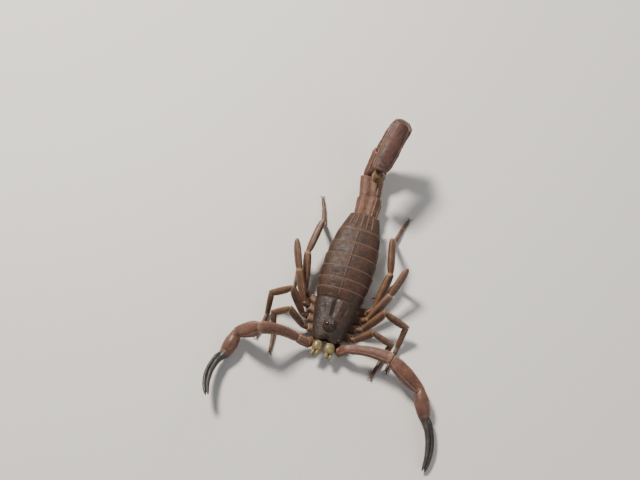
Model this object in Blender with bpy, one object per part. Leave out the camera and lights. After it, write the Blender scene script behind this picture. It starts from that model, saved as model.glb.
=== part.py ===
"""Babycurus jacksoni, a bark scorpion: an adult female at rest, life size, as closed solids.

The animal faces -Y and its left side is +X. Sizes are in millimetres and MM turns them to metres.
The plan frame has its zero on the floor below the middle of the head shield's front edge.
"""
import math

import bmesh
import bpy
from mathutils import Vector

MM = 0.001
GAP = 0.3
WELD = 0.000002
SMOOTH_ANGLE = math.radians(40.0)

# Trunk, from the front edge of the head shield back along +Y
SHIELD_LENGTH = 8.6
SHIELD_FRONT = 2.6
SHIELD_REAR = 4.3
SHIELD_UNDERSIDE = 2.4
SHIELD_CRESTS = (4.0, 5.6)
EYE_MOUND_PLACE = 3.1
EYE_MOUND_REACH = 1.5
EYE_MOUND_HEIGHT = 0.55
EYE_RADIUS = 0.42
EYE_SPREAD = 0.62

TERGITE_LENGTHS = (1.6, 2.1, 2.5, 2.8, 3.0, 3.2, 4.2)
TERGITE_HALF_WIDTHS = (4.35, 4.65, 4.95, 5.15, 5.15, 4.9, 4.3, 2.9)
TERGITE_CRESTS = (5.7, 6.0, 6.25, 6.4, 6.35, 6.15, 5.75, 5.0)
TERGITE_STEP = 0.4
SIDE_LINE = 3.2
BELLY = 1.3
BELLY_REAR = 1.0
OPEN_TERGITES = 2

# Underside plate of leg bases
BASE_TOP = 2.08
BASE_MIDDLE = 1.42

# Tail: length, heading from +Y toward +X and pitch of each length; the fifth ring has a bent neck
TAIL_ROOT = (0.0, 28.0, 2.9)
TAIL_STEPS = (
    (4.9, -3.0, -6.0),
    (5.7, -9.0, -1.0),
    (6.1, 16.0, 40.5),
    (6.8, 41.5, 60.5),
    (2.3, 178.0, 50.0),
    (9.3, 190.5, -15.0),
)
TAIL_RINGS = ((0, 0), (1, 1), (2, 2), (3, 3), (4, 5))
TAIL_REACH = 2.6
TAIL_NECK = 0.16
TAIL_HALF_WIDTHS = (2.45, 2.35, 2.3, 2.2, 2.0)
TAIL_HALF_HEIGHTS = (2.25, 2.25, 2.2, 2.1, 1.9)
KEEL_HEIGHT = 0.24
STING_STEPS = ((0.9, 186.0, -58.0), (3.2, 5.0, -78.0), (1.2, 176.0, -52.0), (1.5, 180.0, -8.0))
VESICLE_HALF_WIDTH = 1.35
VESICLE_HALF_HEIGHT = 1.3

# Arms: length, heading and pitch of trochanter, femur, patella and hand
ARM_ROOT = (3.2, -0.7, 2.3)
ARM_BASE = (1.1, 1.4, 1.4)
ARM_STEPS = {
    "left": ((2.3, 79.0, 53.0), (8.4, 88.6, 8.0), (7.6, 118.6, -16.4), (4.6, 154.2, -18.3)),
    "right": ((2.3, -87.5, 25.0), (8.4, -105.7, 36.8), (7.6, -91.5, -50.0), (4.6, -166.8, -9.4)),
}
FINGER_LENGTH = 10.2
FINGER_PARTS = 4
# Heading at the root and at the tip of the fingers, and their pitch
FINGER_TURN = {"left": (142.0, 193.0, -5.4), "right": (-148.0, -216.0, 15.0)}
FINGER_OFFSET = 0.5
FINGER_START = 1.7
ARM_HALF_WIDTHS = {"trochanter": 0.88, "femur": 1.12, "patella": 1.38, "hand": 1.5}
ARM_HALF_HEIGHTS = {"trochanter": 0.88, "femur": 1.12, "patella": 1.24, "hand": 1.35}
# How far the middle of the upper arm bows to the rear and up
FEMUR_BOW = (0.4, 0.3)

# Legs, front to rear: hip place, then lengths of trochanter, femur, patella, tibia and two tarsal joints
HIPS = ((4.3, 2.6), (4.9, 4.7), (5.3, 6.8), (5.7, 8.8))
HIP_HEIGHT = 1.45
LEG_BASES = ((1.0, 3.3), (0.9, 4.7), (1.1, 6.1), (1.3, 7.5))
LEG_LENGTHS = (
    (1.2, 4.6, 4.2, 3.6, 2.4, 1.9),
    (1.4, 5.8, 5.0, 4.4, 2.7, 2.1),
    (1.5, 6.4, 5.2, 5.0, 3.0, 2.3),
    (1.6, 7.8, 6.6, 6.2, 3.8, 2.6),
)
LEG_SCALES = (0.85, 0.95, 1.0, 1.1)
FOOT_HEIGHT = 0.34
# Heading and pitch of each leg joint; the tibia's pitch is worked out so that the foot lands
LEG_POSES = {
    "left": (
        ((95, 30), (70, 45), (98, -28), (205, None), (195, -4), (195, -2)),
        ((80, 30), (48, 38), (100, -26), (190, None), (190, -9), (192, -3)),
        ((75, 35), (30, 22), (20, 22), (250, None), (225, -27), (220, -2)),
        ((60, 5), (10, 22), (-12, 15), (3, None), (12, -4), (18, -2)),
    ),
    "right": (
        ((-95, 30), (-66, 50), (-102, -38), (-196, None), (-190, -4), (-186, -2)),
        ((-80, 30), (-46, 50), (-104, -34), (-180, None), (-176, -9), (-170, -3)),
        ((-75, 35), (-26, 28), (-22, 12), (-208, None), (-190, -22), (-184, -2)),
        ((-60, 5), (-12, 24), (8, 12), (-8, None), (-16, -4), (-22, -2)),
    ),
}
CLAW_LENGTH = 0.85
CLAW_SPLAY = 24.0

# Combs under the belly
COMB_ROOT = (0.95, 12.3, 0.66)
COMB_STEPS = ((2.1, 58.0, 0.0), (2.1, 44.0, 0.0), (1.6, 30.0, 0.0))
COMB_TEETH = 8
COMB_TOOTH_LENGTH = 1.2

# Jaws: side offset, drop and reach of the fixed and the moving finger
JAW_X = 1.12
JAW_ROOT = (-0.35, 3.2)
JAW_LENGTH = 1.6
JAW_FINGERS = ((-0.4, 0.22, 1.0), (0.42, -0.08, 1.15))

# Colours of the finishes, linear
CUTICLE = ((0.105, 0.045, 0.028), 0.42)
PALE = ((0.30, 0.20, 0.08), 0.35)
DARK = ((0.022, 0.022, 0.026), 0.30)
GLOSSY_TAN = ((0.26, 0.15, 0.06), 0.20)
EYE_BLACK = ((0.004, 0.004, 0.005), 0.06)


def make_material(name, finish):
    """A plain coloured finish of one roughness."""
    colour, roughness = finish
    material = bpy.data.materials.new(name)
    material.use_nodes = True
    shader = material.node_tree.nodes["Principled BSDF"]
    shader.inputs["Base Color"].default_value = (*colour, 1.0)
    shader.inputs["Roughness"].default_value = roughness
    shader.inputs["Metallic"].default_value = 0.0
    return material


def direction(heading, pitch):
    """Unit vector; heading turns from +Y toward +X and pitch lifts it, in degrees."""
    turn, lift = math.radians(heading), math.radians(pitch)
    flat = math.cos(lift)
    return Vector((math.sin(turn) * flat, math.cos(turn) * flat, math.sin(lift)))


def walk(start, steps):
    """Joint points met on the way from start through steps of (length, heading, pitch)."""
    points = [Vector(start)]
    for length, heading, pitch in steps:
        points.append(points[-1] + direction(heading, pitch) * length)
    return points


def blend(stops, place):
    """Value at a place along straight lines through a few (place, value) stops."""
    for (start, low), (end, high) in zip(stops, stops[1:]):
        if place <= end:
            return low + (high - low) * max(0.0, place - start) / (end - start)
    return stops[-1][1]


def squared(value, power):
    """Signed power: below 1 it squares off a circle, above 1 it pinches it."""
    return math.copysign(abs(value) ** power, value)


def mirrored(point, side):
    """The same place on the left (side 1) or on the right (side -1)."""
    return (point[0] * side, point[1], point[2])


class Limb:
    """Centre line of a jointed limb. A bend's two neighbours meet in the plane that halves it."""

    def __init__(self, points, up=(0.0, 0.0, 1.0), first=None, reach=1.0):
        self.reach = reach
        self.points = [Vector(point) for point in points]
        self.ways = [(b - a).normalized() for a, b in zip(self.points, self.points[1:])]
        self.ups = []
        for index, way in enumerate(self.ways):
            carried = Vector(up)
            if index:
                carried = self.ways[index - 1].rotation_difference(way) @ self.ups[-1]
            self.ups.append((carried - way * carried.dot(way)).normalized())
        halves = [(a + b).normalized() for a, b in zip(self.ways, self.ways[1:])]
        self.planes = [Vector(first) if first else self.ways[0]] + halves + [self.ways[-1]]

    def trim(self, step, plane):
        """Share of one length that leaves half a gap beside a joint's plane."""
        length = (self.points[step + 1] - self.points[step]).length
        return GAP / 2 / abs(self.ways[step].dot(self.planes[plane])) / length

    def fade(self, step, plane):
        """Share of one length over which the slant of a joint's plane dies out."""
        length = (self.points[step + 1] - self.points[step]).length
        half_bend = math.acos(min(1.0, abs(self.ways[step].dot(self.planes[plane]))))
        return min(0.5, (self.reach * math.tan(half_bend) * 1.15 + 0.4) / length)

    def spot(self, step, share, across, above):
        """A place beside one length, slid along it so that rings near a bend lie in its plane."""
        way, up = self.ways[step], self.ups[step]
        offset = way.cross(up) * across + up * above
        slide = 0.0
        for plane, away in ((step, share), (step + 1, 1 - share)):
            normal = self.planes[plane]
            weight = max(0.0, 1 - away / self.fade(step, plane))
            slide += weight * offset.dot(normal) / way.dot(normal)
        return self.points[step].lerp(self.points[step + 1], share) + offset - way * slide


def rolled(name, around, along, surface, material):
    """A closed skin: a flat grid rolled up over surface(angle, share), with both ends filled."""
    form = bmesh.new()
    bmesh.ops.create_grid(form, x_segments=around, y_segments=along, size=0.5)
    for vert in form.verts:
        place = surface((vert.co.x + 0.5) * math.tau, vert.co.y + 0.5)
        vert.co = Vector((place[0], place[1], max(place[2], 0.0))) * MM
    bmesh.ops.remove_doubles(form, verts=form.verts, dist=WELD)
    rims = [edge for edge in form.edges if edge.is_boundary]
    bmesh.ops.holes_fill(form, edges=rims, sides=around)
    bmesh.ops.triangulate(form, faces=[face for face in form.faces if len(face.verts) > 4])
    bmesh.ops.recalc_face_normals(form, faces=form.faces)
    return finish_object(name, form, material)


def finish_object(name, form, material):
    """Turn a bmesh into a named object in the model's collection."""
    mesh = bpy.data.meshes.new(name)
    form.to_mesh(mesh)
    form.free()
    mesh.shade_smooth()
    mesh.set_sharp_from_angle(angle=SMOOTH_ANGLE)
    thing = bpy.data.objects.new(name, mesh)
    mesh.materials.append(material)
    bpy.data.collections["scorpion"].objects.link(thing)
    return thing


def keep_largest(thing):
    """Keep only the largest closed surface of an object."""
    form = bmesh.new()
    form.from_mesh(thing.data)
    waiting, islands = set(form.verts), []
    while waiting:
        island, front = set(), [waiting.pop()]
        while front:
            vert = front.pop()
            island.add(vert)
            for edge in vert.link_edges:
                other = edge.other_vert(vert)
                if other in waiting:
                    waiting.remove(other)
                    front.append(other)
        islands.append(island)
    islands.sort(key=len)
    for island in islands[:-1]:
        bmesh.ops.delete(form, geom=list(island), context="VERTS")
    form.to_mesh(thing.data)
    form.free()


def fuse(body, additions):
    """Join overlapping closed pieces into one closed body."""
    crowd = bpy.data.collections.new(body.name + "_additions")
    bpy.context.scene.collection.children.link(crowd)
    for piece in additions:
        bpy.data.collections["scorpion"].objects.unlink(piece)
        crowd.objects.link(piece)
    union = body.modifiers.new("Union", "BOOLEAN")
    union.operation = "UNION"
    union.operand_type = "COLLECTION"
    union.collection = crowd
    union.solver = "EXACT"
    evaluated = body.evaluated_get(bpy.context.evaluated_depsgraph_get())
    joined = bpy.data.meshes.new_from_object(evaluated)
    body.modifiers.clear()
    body.data = joined
    for piece in additions:
        bpy.data.objects.remove(piece)
    bpy.data.collections.remove(crowd)
    keep_largest(body)
    return body


def limb_piece(name, limb, steps, rings, around, section, material, ends=(True, True)):
    """A skin round some lengths of a limb; section(step, share, angle) gives across and above.

    rings says how many rings each length gets.
    """
    first, last = steps
    start_trim = limb.trim(first, first) if ends[0] else 0.0
    end_trim = limb.trim(last, last + 1) if ends[1] else 0.0

    def surface(angle, share):
        place, step = share * sum(rings), first
        while step < last and place >= rings[step - first] - 0.001:
            place -= rings[step - first]
            step += 1
        local = max(0.0, place) / rings[step - first]
        low = start_trim if step == first else 0.0
        high = 1 - end_trim if step == last else 1.0
        across, above = section(step, local, angle)
        return limb.spot(step, low + (high - low) * local, across, above)

    return rolled(name, around, sum(rings), surface, material)


def oval(half_width, half_height, angle, squareness=1.0):
    """Point of an oval section; angle zero is its upper side."""
    return (half_width * squared(math.sin(angle), squareness),
            half_height * squared(math.cos(angle), squareness))


# Trunk

def trunk_section(angle, half_width, crest, side_line, underside, crest_power, under_power):
    """Cross-section of the trunk: a domed back over a flatter belly, as x and z."""
    lift = math.sin(angle)
    x = -half_width * math.cos(angle)
    if lift >= 0:
        return x, side_line + (crest - side_line) * lift ** crest_power
    return x, side_line - (side_line - underside) * (-lift) ** under_power


def eye_mound(x, y):
    """Height that the eye mound adds to the head shield."""
    reach = math.hypot(x * 1.15, y - EYE_MOUND_PLACE) / EYE_MOUND_REACH
    return EYE_MOUND_HEIGHT * max(0.0, math.cos(min(reach, 1.0) * math.pi / 2)) ** 0.8


def shield_point(angle, share):
    """Surface of the head shield, with its notched front edge and raised rear edge."""
    half_width = blend(((0, SHIELD_FRONT), (0.3, 3.25), (0.7, 4.0), (0.95, SHIELD_REAR),
                        (1, SHIELD_REAR - 0.05)), share)
    crest = blend(((0, SHIELD_CRESTS[0]), (0.1, 4.35), (0.45, 4.95), (0.9, SHIELD_CRESTS[1]),
                   (1, SHIELD_CRESTS[1] - 0.1)), share)
    x, z = trunk_section(angle, half_width, crest, 2.95, SHIELD_UNDERSIDE, 0.7, 0.25)
    y = share * (SHIELD_LENGTH - GAP / 2)
    if math.sin(angle) > 0.05:
        z += eye_mound(x, y)
        furrow = blend(((0, 0.0), (0.55, 0.0), (0.75, 0.22), (1, 0.1)), share)
        z -= furrow * max(0.0, 1 - abs(x) / 0.7)
    notch = 0.35 * max(0.0, 1 - abs(x) / 1.2) * max(0.0, 1 - share * 8)
    return Vector((x, y + notch, z))


def build_shield(finish):
    rolled("carapace", 28, 12, shield_point, finish)


def build_eyes(finish):
    """The two middle eyes, each a low dome against the slope of the mound."""
    for side, label in ((1, "left"), (-1, "right")):
        x = side * EYE_SPREAD
        top = max(shield_point(math.radians(turn), EYE_MOUND_PLACE / SHIELD_LENGTH).z
                  for turn in range(80, 101, 5))
        centre = Vector((x, EYE_MOUND_PLACE, top + 0.42))

        def dome(angle, share, centre=centre, side=side):
            lift = -0.5 + share
            ring = math.sqrt(max(0.02, 1 - (2 * lift) ** 2)) * EYE_RADIUS
            axis = Vector((0.55 * side, -0.1, 0.83)).normalized()
            across = axis.cross(Vector((0, 1, 0))).normalized()
            along = axis.cross(across)
            return (centre + axis * lift * EYE_RADIUS * 1.5
                    + (across * math.cos(angle) + along * math.sin(angle)) * ring)

        rolled("eye_median_" + label, 8, 6, dome, finish)


def build_mesosoma(finish):
    """Seven body rings whose back plates rise to a raised rear edge."""
    start = SHIELD_LENGTH
    for index, length in enumerate(TERGITE_LENGTHS):
        widths = TERGITE_HALF_WIDTHS[index:index + 2]
        crests = TERGITE_CRESTS[index:index + 2]
        is_open = index < OPEN_TERGITES
        is_last = index == len(TERGITE_LENGTHS) - 1
        underside = SHIELD_UNDERSIDE if is_open else BELLY
        under_power = 0.25 if is_open else 0.45

        def ring(angle, share, start=start, length=length, widths=widths, crests=crests,
                 underside=underside, under_power=under_power, is_last=is_last):
            half_width = widths[0] + (widths[1] - widths[0]) * share
            if not is_last:
                half_width += 0.12 * math.sin(math.pi * share)
            rise = blend(((0, -TERGITE_STEP), (0.8, 0.0), (1, -0.06)), share)
            crest = crests[0] + (crests[1] - crests[0]) * share + rise
            floor = underside - (BELLY - BELLY_REAR) * share * is_last
            x, z = trunk_section(angle, half_width, crest, SIDE_LINE - 0.3 * is_last * share,
                                 floor, 0.75, under_power)
            if math.sin(angle) > 0.2:
                keels = (0.0, 1.5, 2.7) if is_last else (0.0,)
                for keel in keels:
                    z += 0.24 * max(0.0, 1 - abs(abs(x) - keel) / 0.45) * min(1.0, share * 2 + 0.3)
            y = start + GAP / 2 + (length - GAP) * share
            return Vector((x, y, z))

        rolled("mesosoma_%d" % (index + 1), 26, 5, ring, finish)
        start += length


# Underside

def base_section(step, share, angle):
    """Flattened leg base, narrower at the breast."""
    half_width = blend(((0, 0.6), (0.5, 0.95), (1, 0.82)), share)
    return oval(half_width, 0.6, angle, 0.85)


def leg_points(side, row):
    """Joint points of one leg, from its base under the body to its foot."""
    label = "left" if side == 1 else "right"
    base = mirrored((*LEG_BASES[row], BASE_MIDDLE), side)
    hip = mirrored((*HIPS[row], HIP_HEIGHT), side)
    lengths, poses = LEG_LENGTHS[row], LEG_POSES[label][row]
    height = hip[2] + sum(length * math.sin(math.radians(pitch))
                          for length, (_, pitch) in zip(lengths, poses) if pitch is not None)
    tibia = poses.index(next(pose for pose in poses if pose[1] is None))
    landing = math.degrees(math.asin((FOOT_HEIGHT - height) / lengths[tibia]))
    steps = [(length, heading, landing if pitch is None else pitch)
             for length, (heading, pitch) in zip(lengths, poses)]
    return [Vector(base)] + walk(hip, steps)


def arm_points(side):
    """Joint points of one arm, from its base to the fingertips."""
    label = "left" if side == 1 else "right"
    points = [Vector(mirrored(ARM_BASE, side))] + walk(mirrored(ARM_ROOT, side), ARM_STEPS[label])
    start, end, pitch = FINGER_TURN[label]
    parts = [(FINGER_LENGTH / FINGER_PARTS, start + (end - start) * (part + 0.5) / FINGER_PARTS,
              pitch) for part in range(FINGER_PARTS)]
    return points + walk(points[-1], parts)[1:]


def build_underside(finish):
    """Leg bases, arm bases, breast plate and genital cover joined into one plate."""
    def breast(angle, share):
        half_width = blend(((0, 0.9), (0.2, 1.9), (0.7, 2.6), (0.9, 1.9), (1, 1.1)), share)
        across, above = oval(half_width, 0.5, angle, 0.7)
        return Vector((across, 1.6 + 9.3 * share, BASE_MIDDLE + above))

    plate = rolled("coxosternum", 14, 8, breast, finish)
    additions = []
    for side in (1, -1):
        for row in range(4):
            limb = Limb(leg_points(side, row))
            additions.append(limb_piece("base", limb, (0, 0), (4,), 10, base_section, finish,
                                        (False, True)))
        arm = Limb(arm_points(side))
        additions.append(limb_piece("base", arm, (0, 0), (5,), 10, arm_base_section, finish,
                                    (False, True)))
    fuse(plate, additions)
    for vert in plate.data.vertices:
        if vert.co.y > -0.35 * MM:
            vert.co.z = min(vert.co.z, BASE_TOP * MM)


def arm_base_section(step, share, angle):
    half_width = blend(((0, 0.6), (0.6, 0.9), (1, 0.85)), share)
    return oval(half_width, blend(((0, 0.5), (1, 0.75)), share), angle, 0.9)


def build_combs(finish):
    """A comb on each side of the belly, with teeth along its rear edge."""
    for side, label in ((1, "left"), (-1, "right")):
        steps = [(length, heading * side, pitch) for length, heading, pitch in COMB_STEPS]
        spine = Limb(walk(mirrored(COMB_ROOT, side), steps))

        def rod(step, share, angle):
            whole = (step + share) / len(COMB_STEPS)
            return oval(blend(((0, 0.5), (0.15, 0.62), (1, 0.34)), whole), 0.3, angle, 0.8)

        comb = limb_piece("pectine_" + label, spine, (0, 2), (3, 3, 3), 8, rod, finish, (False, False))
        teeth = []
        for index in range(COMB_TEETH):
            place = (index + 0.6) / COMB_TEETH * len(COMB_STEPS)
            step = min(int(place), len(COMB_STEPS) - 1)
            root = spine.spot(step, place - step, 0, 0)
            back = Vector((-spine.ways[step].y * side, spine.ways[step].x * side, 0))
            tip = root + (back + spine.ways[step] * 0.35).normalized() * COMB_TOOTH_LENGTH
            tooth = Limb((root, tip))

            def peg(step, share, angle):
                size = blend(((0, 0.25), (0.6, 0.27), (0.9, 0.2), (1, 0.08)), share)
                return oval(size, min(size, 0.25), angle)

            teeth.append(limb_piece("tooth", tooth, (0, 0), (4,), 6, peg, finish, (False, False)))
        fuse(comb, teeth)


def build_jaws(finish):
    """The two short jaws under the front edge, each with a fixed and a moving finger."""
    for side, label in ((1, "left"), (-1, "right")):
        y, z = JAW_ROOT
        root = Vector((JAW_X * side, y, z))
        end = root + Vector((0.08 * side, -JAW_LENGTH, -0.15))

        def hand(step, share, angle):
            size = blend(((0, 0.82), (0.3, 1.0), (0.75, 1.0), (1, 0.62)), share)
            return oval(0.95 * size, 0.82 * size, angle, 0.85)

        jaw = limb_piece("chelicera_" + label, Limb((root, end)), (0, 0), (5,), 10, hand, finish,
                         (False, False))
        fingers = []
        for offset, drop, reach in JAW_FINGERS:
            start = end + Vector((offset * side, 0.6, drop))
            bend = start + Vector((0.16 * side, -0.6 - reach * 0.55, -0.15))
            tip = bend + Vector(((0.08 - offset * 0.7) * side, -reach * 0.35, -0.5))

            def finger(step, share, angle):
                size = blend(((0, 0.38), (1, 0.33), (2, 0.08)), step + share)
                return oval(size * 0.9, size, angle)

            fingers.append(limb_piece("finger", Limb((start, bend, tip)), (0, 1), (3, 3), 8, finger,
                                      finish, (False, False)))
        fuse(jaw, fingers)


# Arms

def ridged(angle, places, height, spread=0.3):
    """Height of a few keels that run along a section, at the given angles in degrees."""
    total = 0.0
    for place in places:
        away = abs((angle - math.radians(place) + math.pi) % math.tau - math.pi)
        total += height * max(0.0, 1 - away / spread)
    return total


def keeled_oval(half_width, half_height, angle, squareness, places, height):
    across, above = oval(half_width, half_height, angle, squareness)
    reach = math.hypot(across, above)
    grown = (reach + ridged(angle, places, height)) / reach
    return across * grown, above * grown


TROCHANTER_SIZE = ((0, 0.84), (0.3, 1.0), (0.75, 1.0), (1, 0.82))
FEMUR_SIZE = ((0, 0.64), (0.12, 0.75), (0.5, 0.87), (0.85, 1.03), (0.94, 0.98), (1, 0.74))
PATELLA_SIZE = ((0, 0.6), (0.12, 0.78), (0.3, 1.0), (0.6, 1.02), (0.88, 0.82), (1, 0.6))
ARM_KEELS = (45, 135, 225, 315)


def arm_section(part, side, sizes, squareness, bow=(0.0, 0.0)):
    """Section function of one arm joint, with its keels."""
    def section(step, share, angle):
        size = blend(sizes, share)
        across, above = keeled_oval(ARM_HALF_WIDTHS[part] * size, ARM_HALF_HEIGHTS[part] * size, angle,
                                    squareness, ARM_KEELS, 0.12 * min(1.0, 6 * share, 6 - 6 * share))
        arch = math.sin(math.pi * share)
        return across - bow[0] * side * arch, above + bow[1] * arch
    return section


def finger_section(share, angle):
    """Section of one finger at a share of its length, thick at its root and curved to a point."""
    size = blend(((0, 0.62), (0.3, 0.5), (0.7, 0.42), (0.92, 0.3), (1, 0.12)), share)
    return oval(size * 0.68, size, angle)


def hand_section(side):
    """Hand that narrows on its outer side into the fixed finger."""
    def section(step, share, angle):
        if step == 4:
            width = blend(((0, 0.52), (0.15, 0.72), (0.5, 1.0), (0.8, 0.96), (1, 0.86)), share)
            height = blend(((0, 0.58), (0.15, 0.78), (0.5, 1.0), (0.8, 0.95), (1, 0.8)), share)
            across, above = oval(ARM_HALF_WIDTHS["hand"] * width,
                                 ARM_HALF_HEIGHTS["hand"] * height, angle, 0.95)
            return across - 0.04 * side, above
        whole = (step - 5 + share) / FINGER_PARTS
        across, above = finger_section(whole, angle)
        shoulder = max(0.0, 1 - whole / 0.125)
        width = ARM_HALF_WIDTHS["hand"] * 0.86
        inner = (FINGER_OFFSET * (1 - max(0.0, whole - 0.55) * 1.3)) * side
        grown_across = across * (1 - shoulder) + width * math.sin(angle) * shoulder
        grown_above = above * (1 - shoulder) + ARM_HALF_HEIGHTS["hand"] * 0.8 * math.cos(angle) * shoulder
        return grown_across + inner * (1 - shoulder) - 0.04 * side * shoulder, grown_above
    return section


def build_arm(side, label, finishes):
    """Trochanter, femur, patella, hand with its fixed finger, and the moving finger."""
    cuticle, dark = finishes
    points = arm_points(side)
    limb = Limb(points)
    name = "pedipalp_" + label + "_"
    limb_piece(name + "trochanter", limb, (1, 1), (5,), 10,
               arm_section("trochanter", side, TROCHANTER_SIZE, 1.0), cuticle)
    limb_piece(name + "femur", limb, (2, 2), (9,), 12,
               arm_section("femur", side, FEMUR_SIZE, 0.85, FEMUR_BOW), cuticle)
    limb_piece(name + "patella", limb, (3, 3), (9,), 12,
               arm_section("patella", side, PATELLA_SIZE, 0.85), cuticle)
    limb_piece(name + "hand", limb, (4, 8), (6, 4, 3, 3, 3), 12, hand_section(side), cuticle, (True, False))

    moving = Limb(points[5:])
    slant = moving.ways[0].cross(moving.ups[0]) * side * -1.0
    moving.planes[0] = (moving.ways[0] + slant).normalized()
    moving.points[0] = moving.points[0] + moving.ways[0] * FINGER_START

    def section(step, share, angle):
        whole = (step + share) / FINGER_PARTS
        across, above = finger_section(whole, angle)
        outer = -FINGER_OFFSET * (1 - max(0.0, whole - 0.55) * 0.55) * side
        return across + outer, above

    limb_piece(name + "finger", moving, (0, FINGER_PARTS - 1), (3,) * FINGER_PARTS, 8, section, dark, (False, False))


# Legs

LEG_FEMUR = ((0, 0.8), (1.0, 0.78), (1.15, 0.95), (1.6, 1.05), (1.9, 0.98), (2.0, 0.78))
LEG_PATELLA = ((0, 0.68), (0.2, 0.86), (0.6, 0.95), (0.88, 0.88), (1, 0.66))
LEG_FOOT = ((0, 0.6), (0.2, 0.62), (0.9, 0.52), (1.0, 0.42), (1.2, 0.44), (1.85, 0.42),
            (2.0, 0.34), (2.2, 0.38), (2.8, 0.34), (3.0, 0.27))


def build_leg(side, label, row, finish):
    """Upper leg, knee joint and foot of one leg; the foot ends in two claws."""
    limb = Limb(leg_points(side, row))
    scale = LEG_SCALES[row]
    name = "leg_%s_%d_" % (label, row + 1)

    def upper(step, share, angle):
        size = blend(LEG_FEMUR, step - 1 + share) * scale
        return oval(0.72 * size, 0.86 * size, angle, 0.9)

    def knee(step, share, angle):
        size = blend(LEG_PATELLA, share) * scale
        return oval(0.68 * size, 0.86 * size, angle, 0.9)

    def foot(step, share, angle):
        size = blend(LEG_FOOT, step - 4 + share) * (0.7 + 0.3 * scale)
        return oval(0.92 * size, size, angle)

    limb_piece(name + "femur", limb, (1, 2), (3, 5), 8, upper, finish)
    limb_piece(name + "patella", limb, (3, 3), (6,), 8, knee, finish)
    piece = limb_piece(name + "foot", limb, (4, 6), (5, 4, 4), 8, foot, finish, (True, False))
    claws = []
    for splay in (-CLAW_SPLAY, CLAW_SPLAY):
        way = limb.ways[-1]
        turn = math.radians(splay)
        ahead = Vector((way.x * math.cos(turn) - way.y * math.sin(turn),
                        way.x * math.sin(turn) + way.y * math.cos(turn), 0)).normalized()
        root = limb.points[-1] - way * 0.25
        bend = root + ahead * CLAW_LENGTH * 0.75 + Vector((0, 0, 0.1))
        tip = root + ahead * (CLAW_LENGTH + 0.3) + Vector((0, 0, -0.22))

        def claw(step, share, angle):
            size = blend(((0, 0.2), (1, 0.17), (2, 0.04)), step + share)
            return oval(size, size, angle)

        claws.append(limb_piece("claw", Limb((root, bend, tip)), (0, 1), (2, 2), 6, claw, finish,
                                (False, False)))
    fuse(piece, claws)


# Tail

TAIL_SIZE = ((0, 0.74), (0.07, 0.86), (0.2, 0.95), (0.5, 0.99), (0.86, 1.04), (0.95, 1.0), (1, 0.86))
LAST_RING_SIZE = ((0, 0.74), (0.08, 0.8), (0.16, 0.86), (0.3, 0.96), (0.55, 1.0), (0.8, 0.94), (0.95, 0.84), (1, 0.72))
TAIL_KEELS = (36, 72, 126, 162, 198, 234, 288, 324)


def tail_limb():
    """Centre line of the tail and sting."""
    points = walk(TAIL_ROOT, TAIL_STEPS)
    return Limb(points + walk(points[-1], STING_STEPS)[1:], first=(0.0, 1.0, 0.0), reach=TAIL_REACH)


def build_tail(finish):
    """Five keeled tail rings."""
    limb = tail_limb()

    for ring, steps in enumerate(TAIL_RINGS):
        has_neck = steps[1] > steps[0]

        def section(step, share, angle, ring=ring, steps=steps, has_neck=has_neck):
            place = share
            if has_neck:
                place = TAIL_NECK * share if step == steps[0] else TAIL_NECK + (1 - TAIL_NECK) * share
            size = blend(LAST_RING_SIZE if has_neck else TAIL_SIZE, place)
            tooth = 1.0 if round(share * 12) % 2 else 0.55
            keel = KEEL_HEIGHT * tooth * min(1.0, 8 * place, 8.4 - 8 * place)
            across, above = keeled_oval(TAIL_HALF_WIDTHS[ring] * size,
                                        TAIL_HALF_HEIGHTS[ring] * size,
                                        angle, 0.82, TAIL_KEELS, keel)
            hollow = 0.2 * max(0.0, 1 - abs(across) / 1.1) if above > 0 else 0.0
            return across, above - hollow

        rings = (3, 12) if has_neck else (12,)
        limb_piece("metasoma_%d" % (ring + 1), limb, steps, rings, 20, section, finish)


def build_sting(finish):
    """Venom bulb, its small tubercle and the curved sting."""
    limb = tail_limb()
    bulb = len(TAIL_STEPS)

    def section(step, share, angle):
        whole = step - bulb + share
        width = blend(((0, 0.5), (0.6, 0.52), (1, 0.74), (1.3, 1.0), (1.6, 0.94), (1.85, 0.58),
                       (2, 0.36), (3, 0.2), (4, 0.05)), whole)
        height = blend(((0, 0.5), (0.6, 0.54), (1, 0.78), (1.35, 1.0), (1.65, 0.9), (1.88, 0.54),
                        (2, 0.38), (3, 0.22), (4, 0.05)), whole)
        across, above = oval(VESICLE_HALF_WIDTH * width, VESICLE_HALF_HEIGHT * height, angle)
        sag = blend(((0, 0), (1, -0.1), (1.4, -0.25), (2, 0.1), (4, 0)), whole)
        return across, above + sag

    sting = limb_piece("telson", limb, (bulb, bulb + 3), (3, 7, 4, 4), 14, section, finish,
                       (True, False))
    root = limb.spot(bulb + 1, 0.75, 0, -0.5)
    tip = limb.spot(bulb + 1, 0.97, 0, -1.4)

    def bump(step, share, angle):
        size = blend(((0, 0.36), (0.6, 0.3), (1, 0.08)), share)
        return oval(size, size, angle)

    fuse(sting, [limb_piece("tubercle", Limb((root, tip)), (0, 0), (3,), 6, bump, finish,
                            (False, False))])


def set_origin(model):
    """Put the model's zero on the floor below the middle of its bounding box."""
    corners = [thing.matrix_world @ vert.co for thing in model.objects for vert in thing.data.vertices]
    lows = [min(corner[axis] for corner in corners) for axis in range(3)]
    highs = [max(corner[axis] for corner in corners) for axis in range(3)]
    stand = bpy.data.objects.new("scorpion_origin", None)
    bpy.context.scene.collection.objects.link(stand)
    stand.location = (-(lows[0] + highs[0]) / 2, -(lows[1] + highs[1]) / 2, -lows[2])
    for thing in model.objects:
        thing.parent = stand


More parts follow.
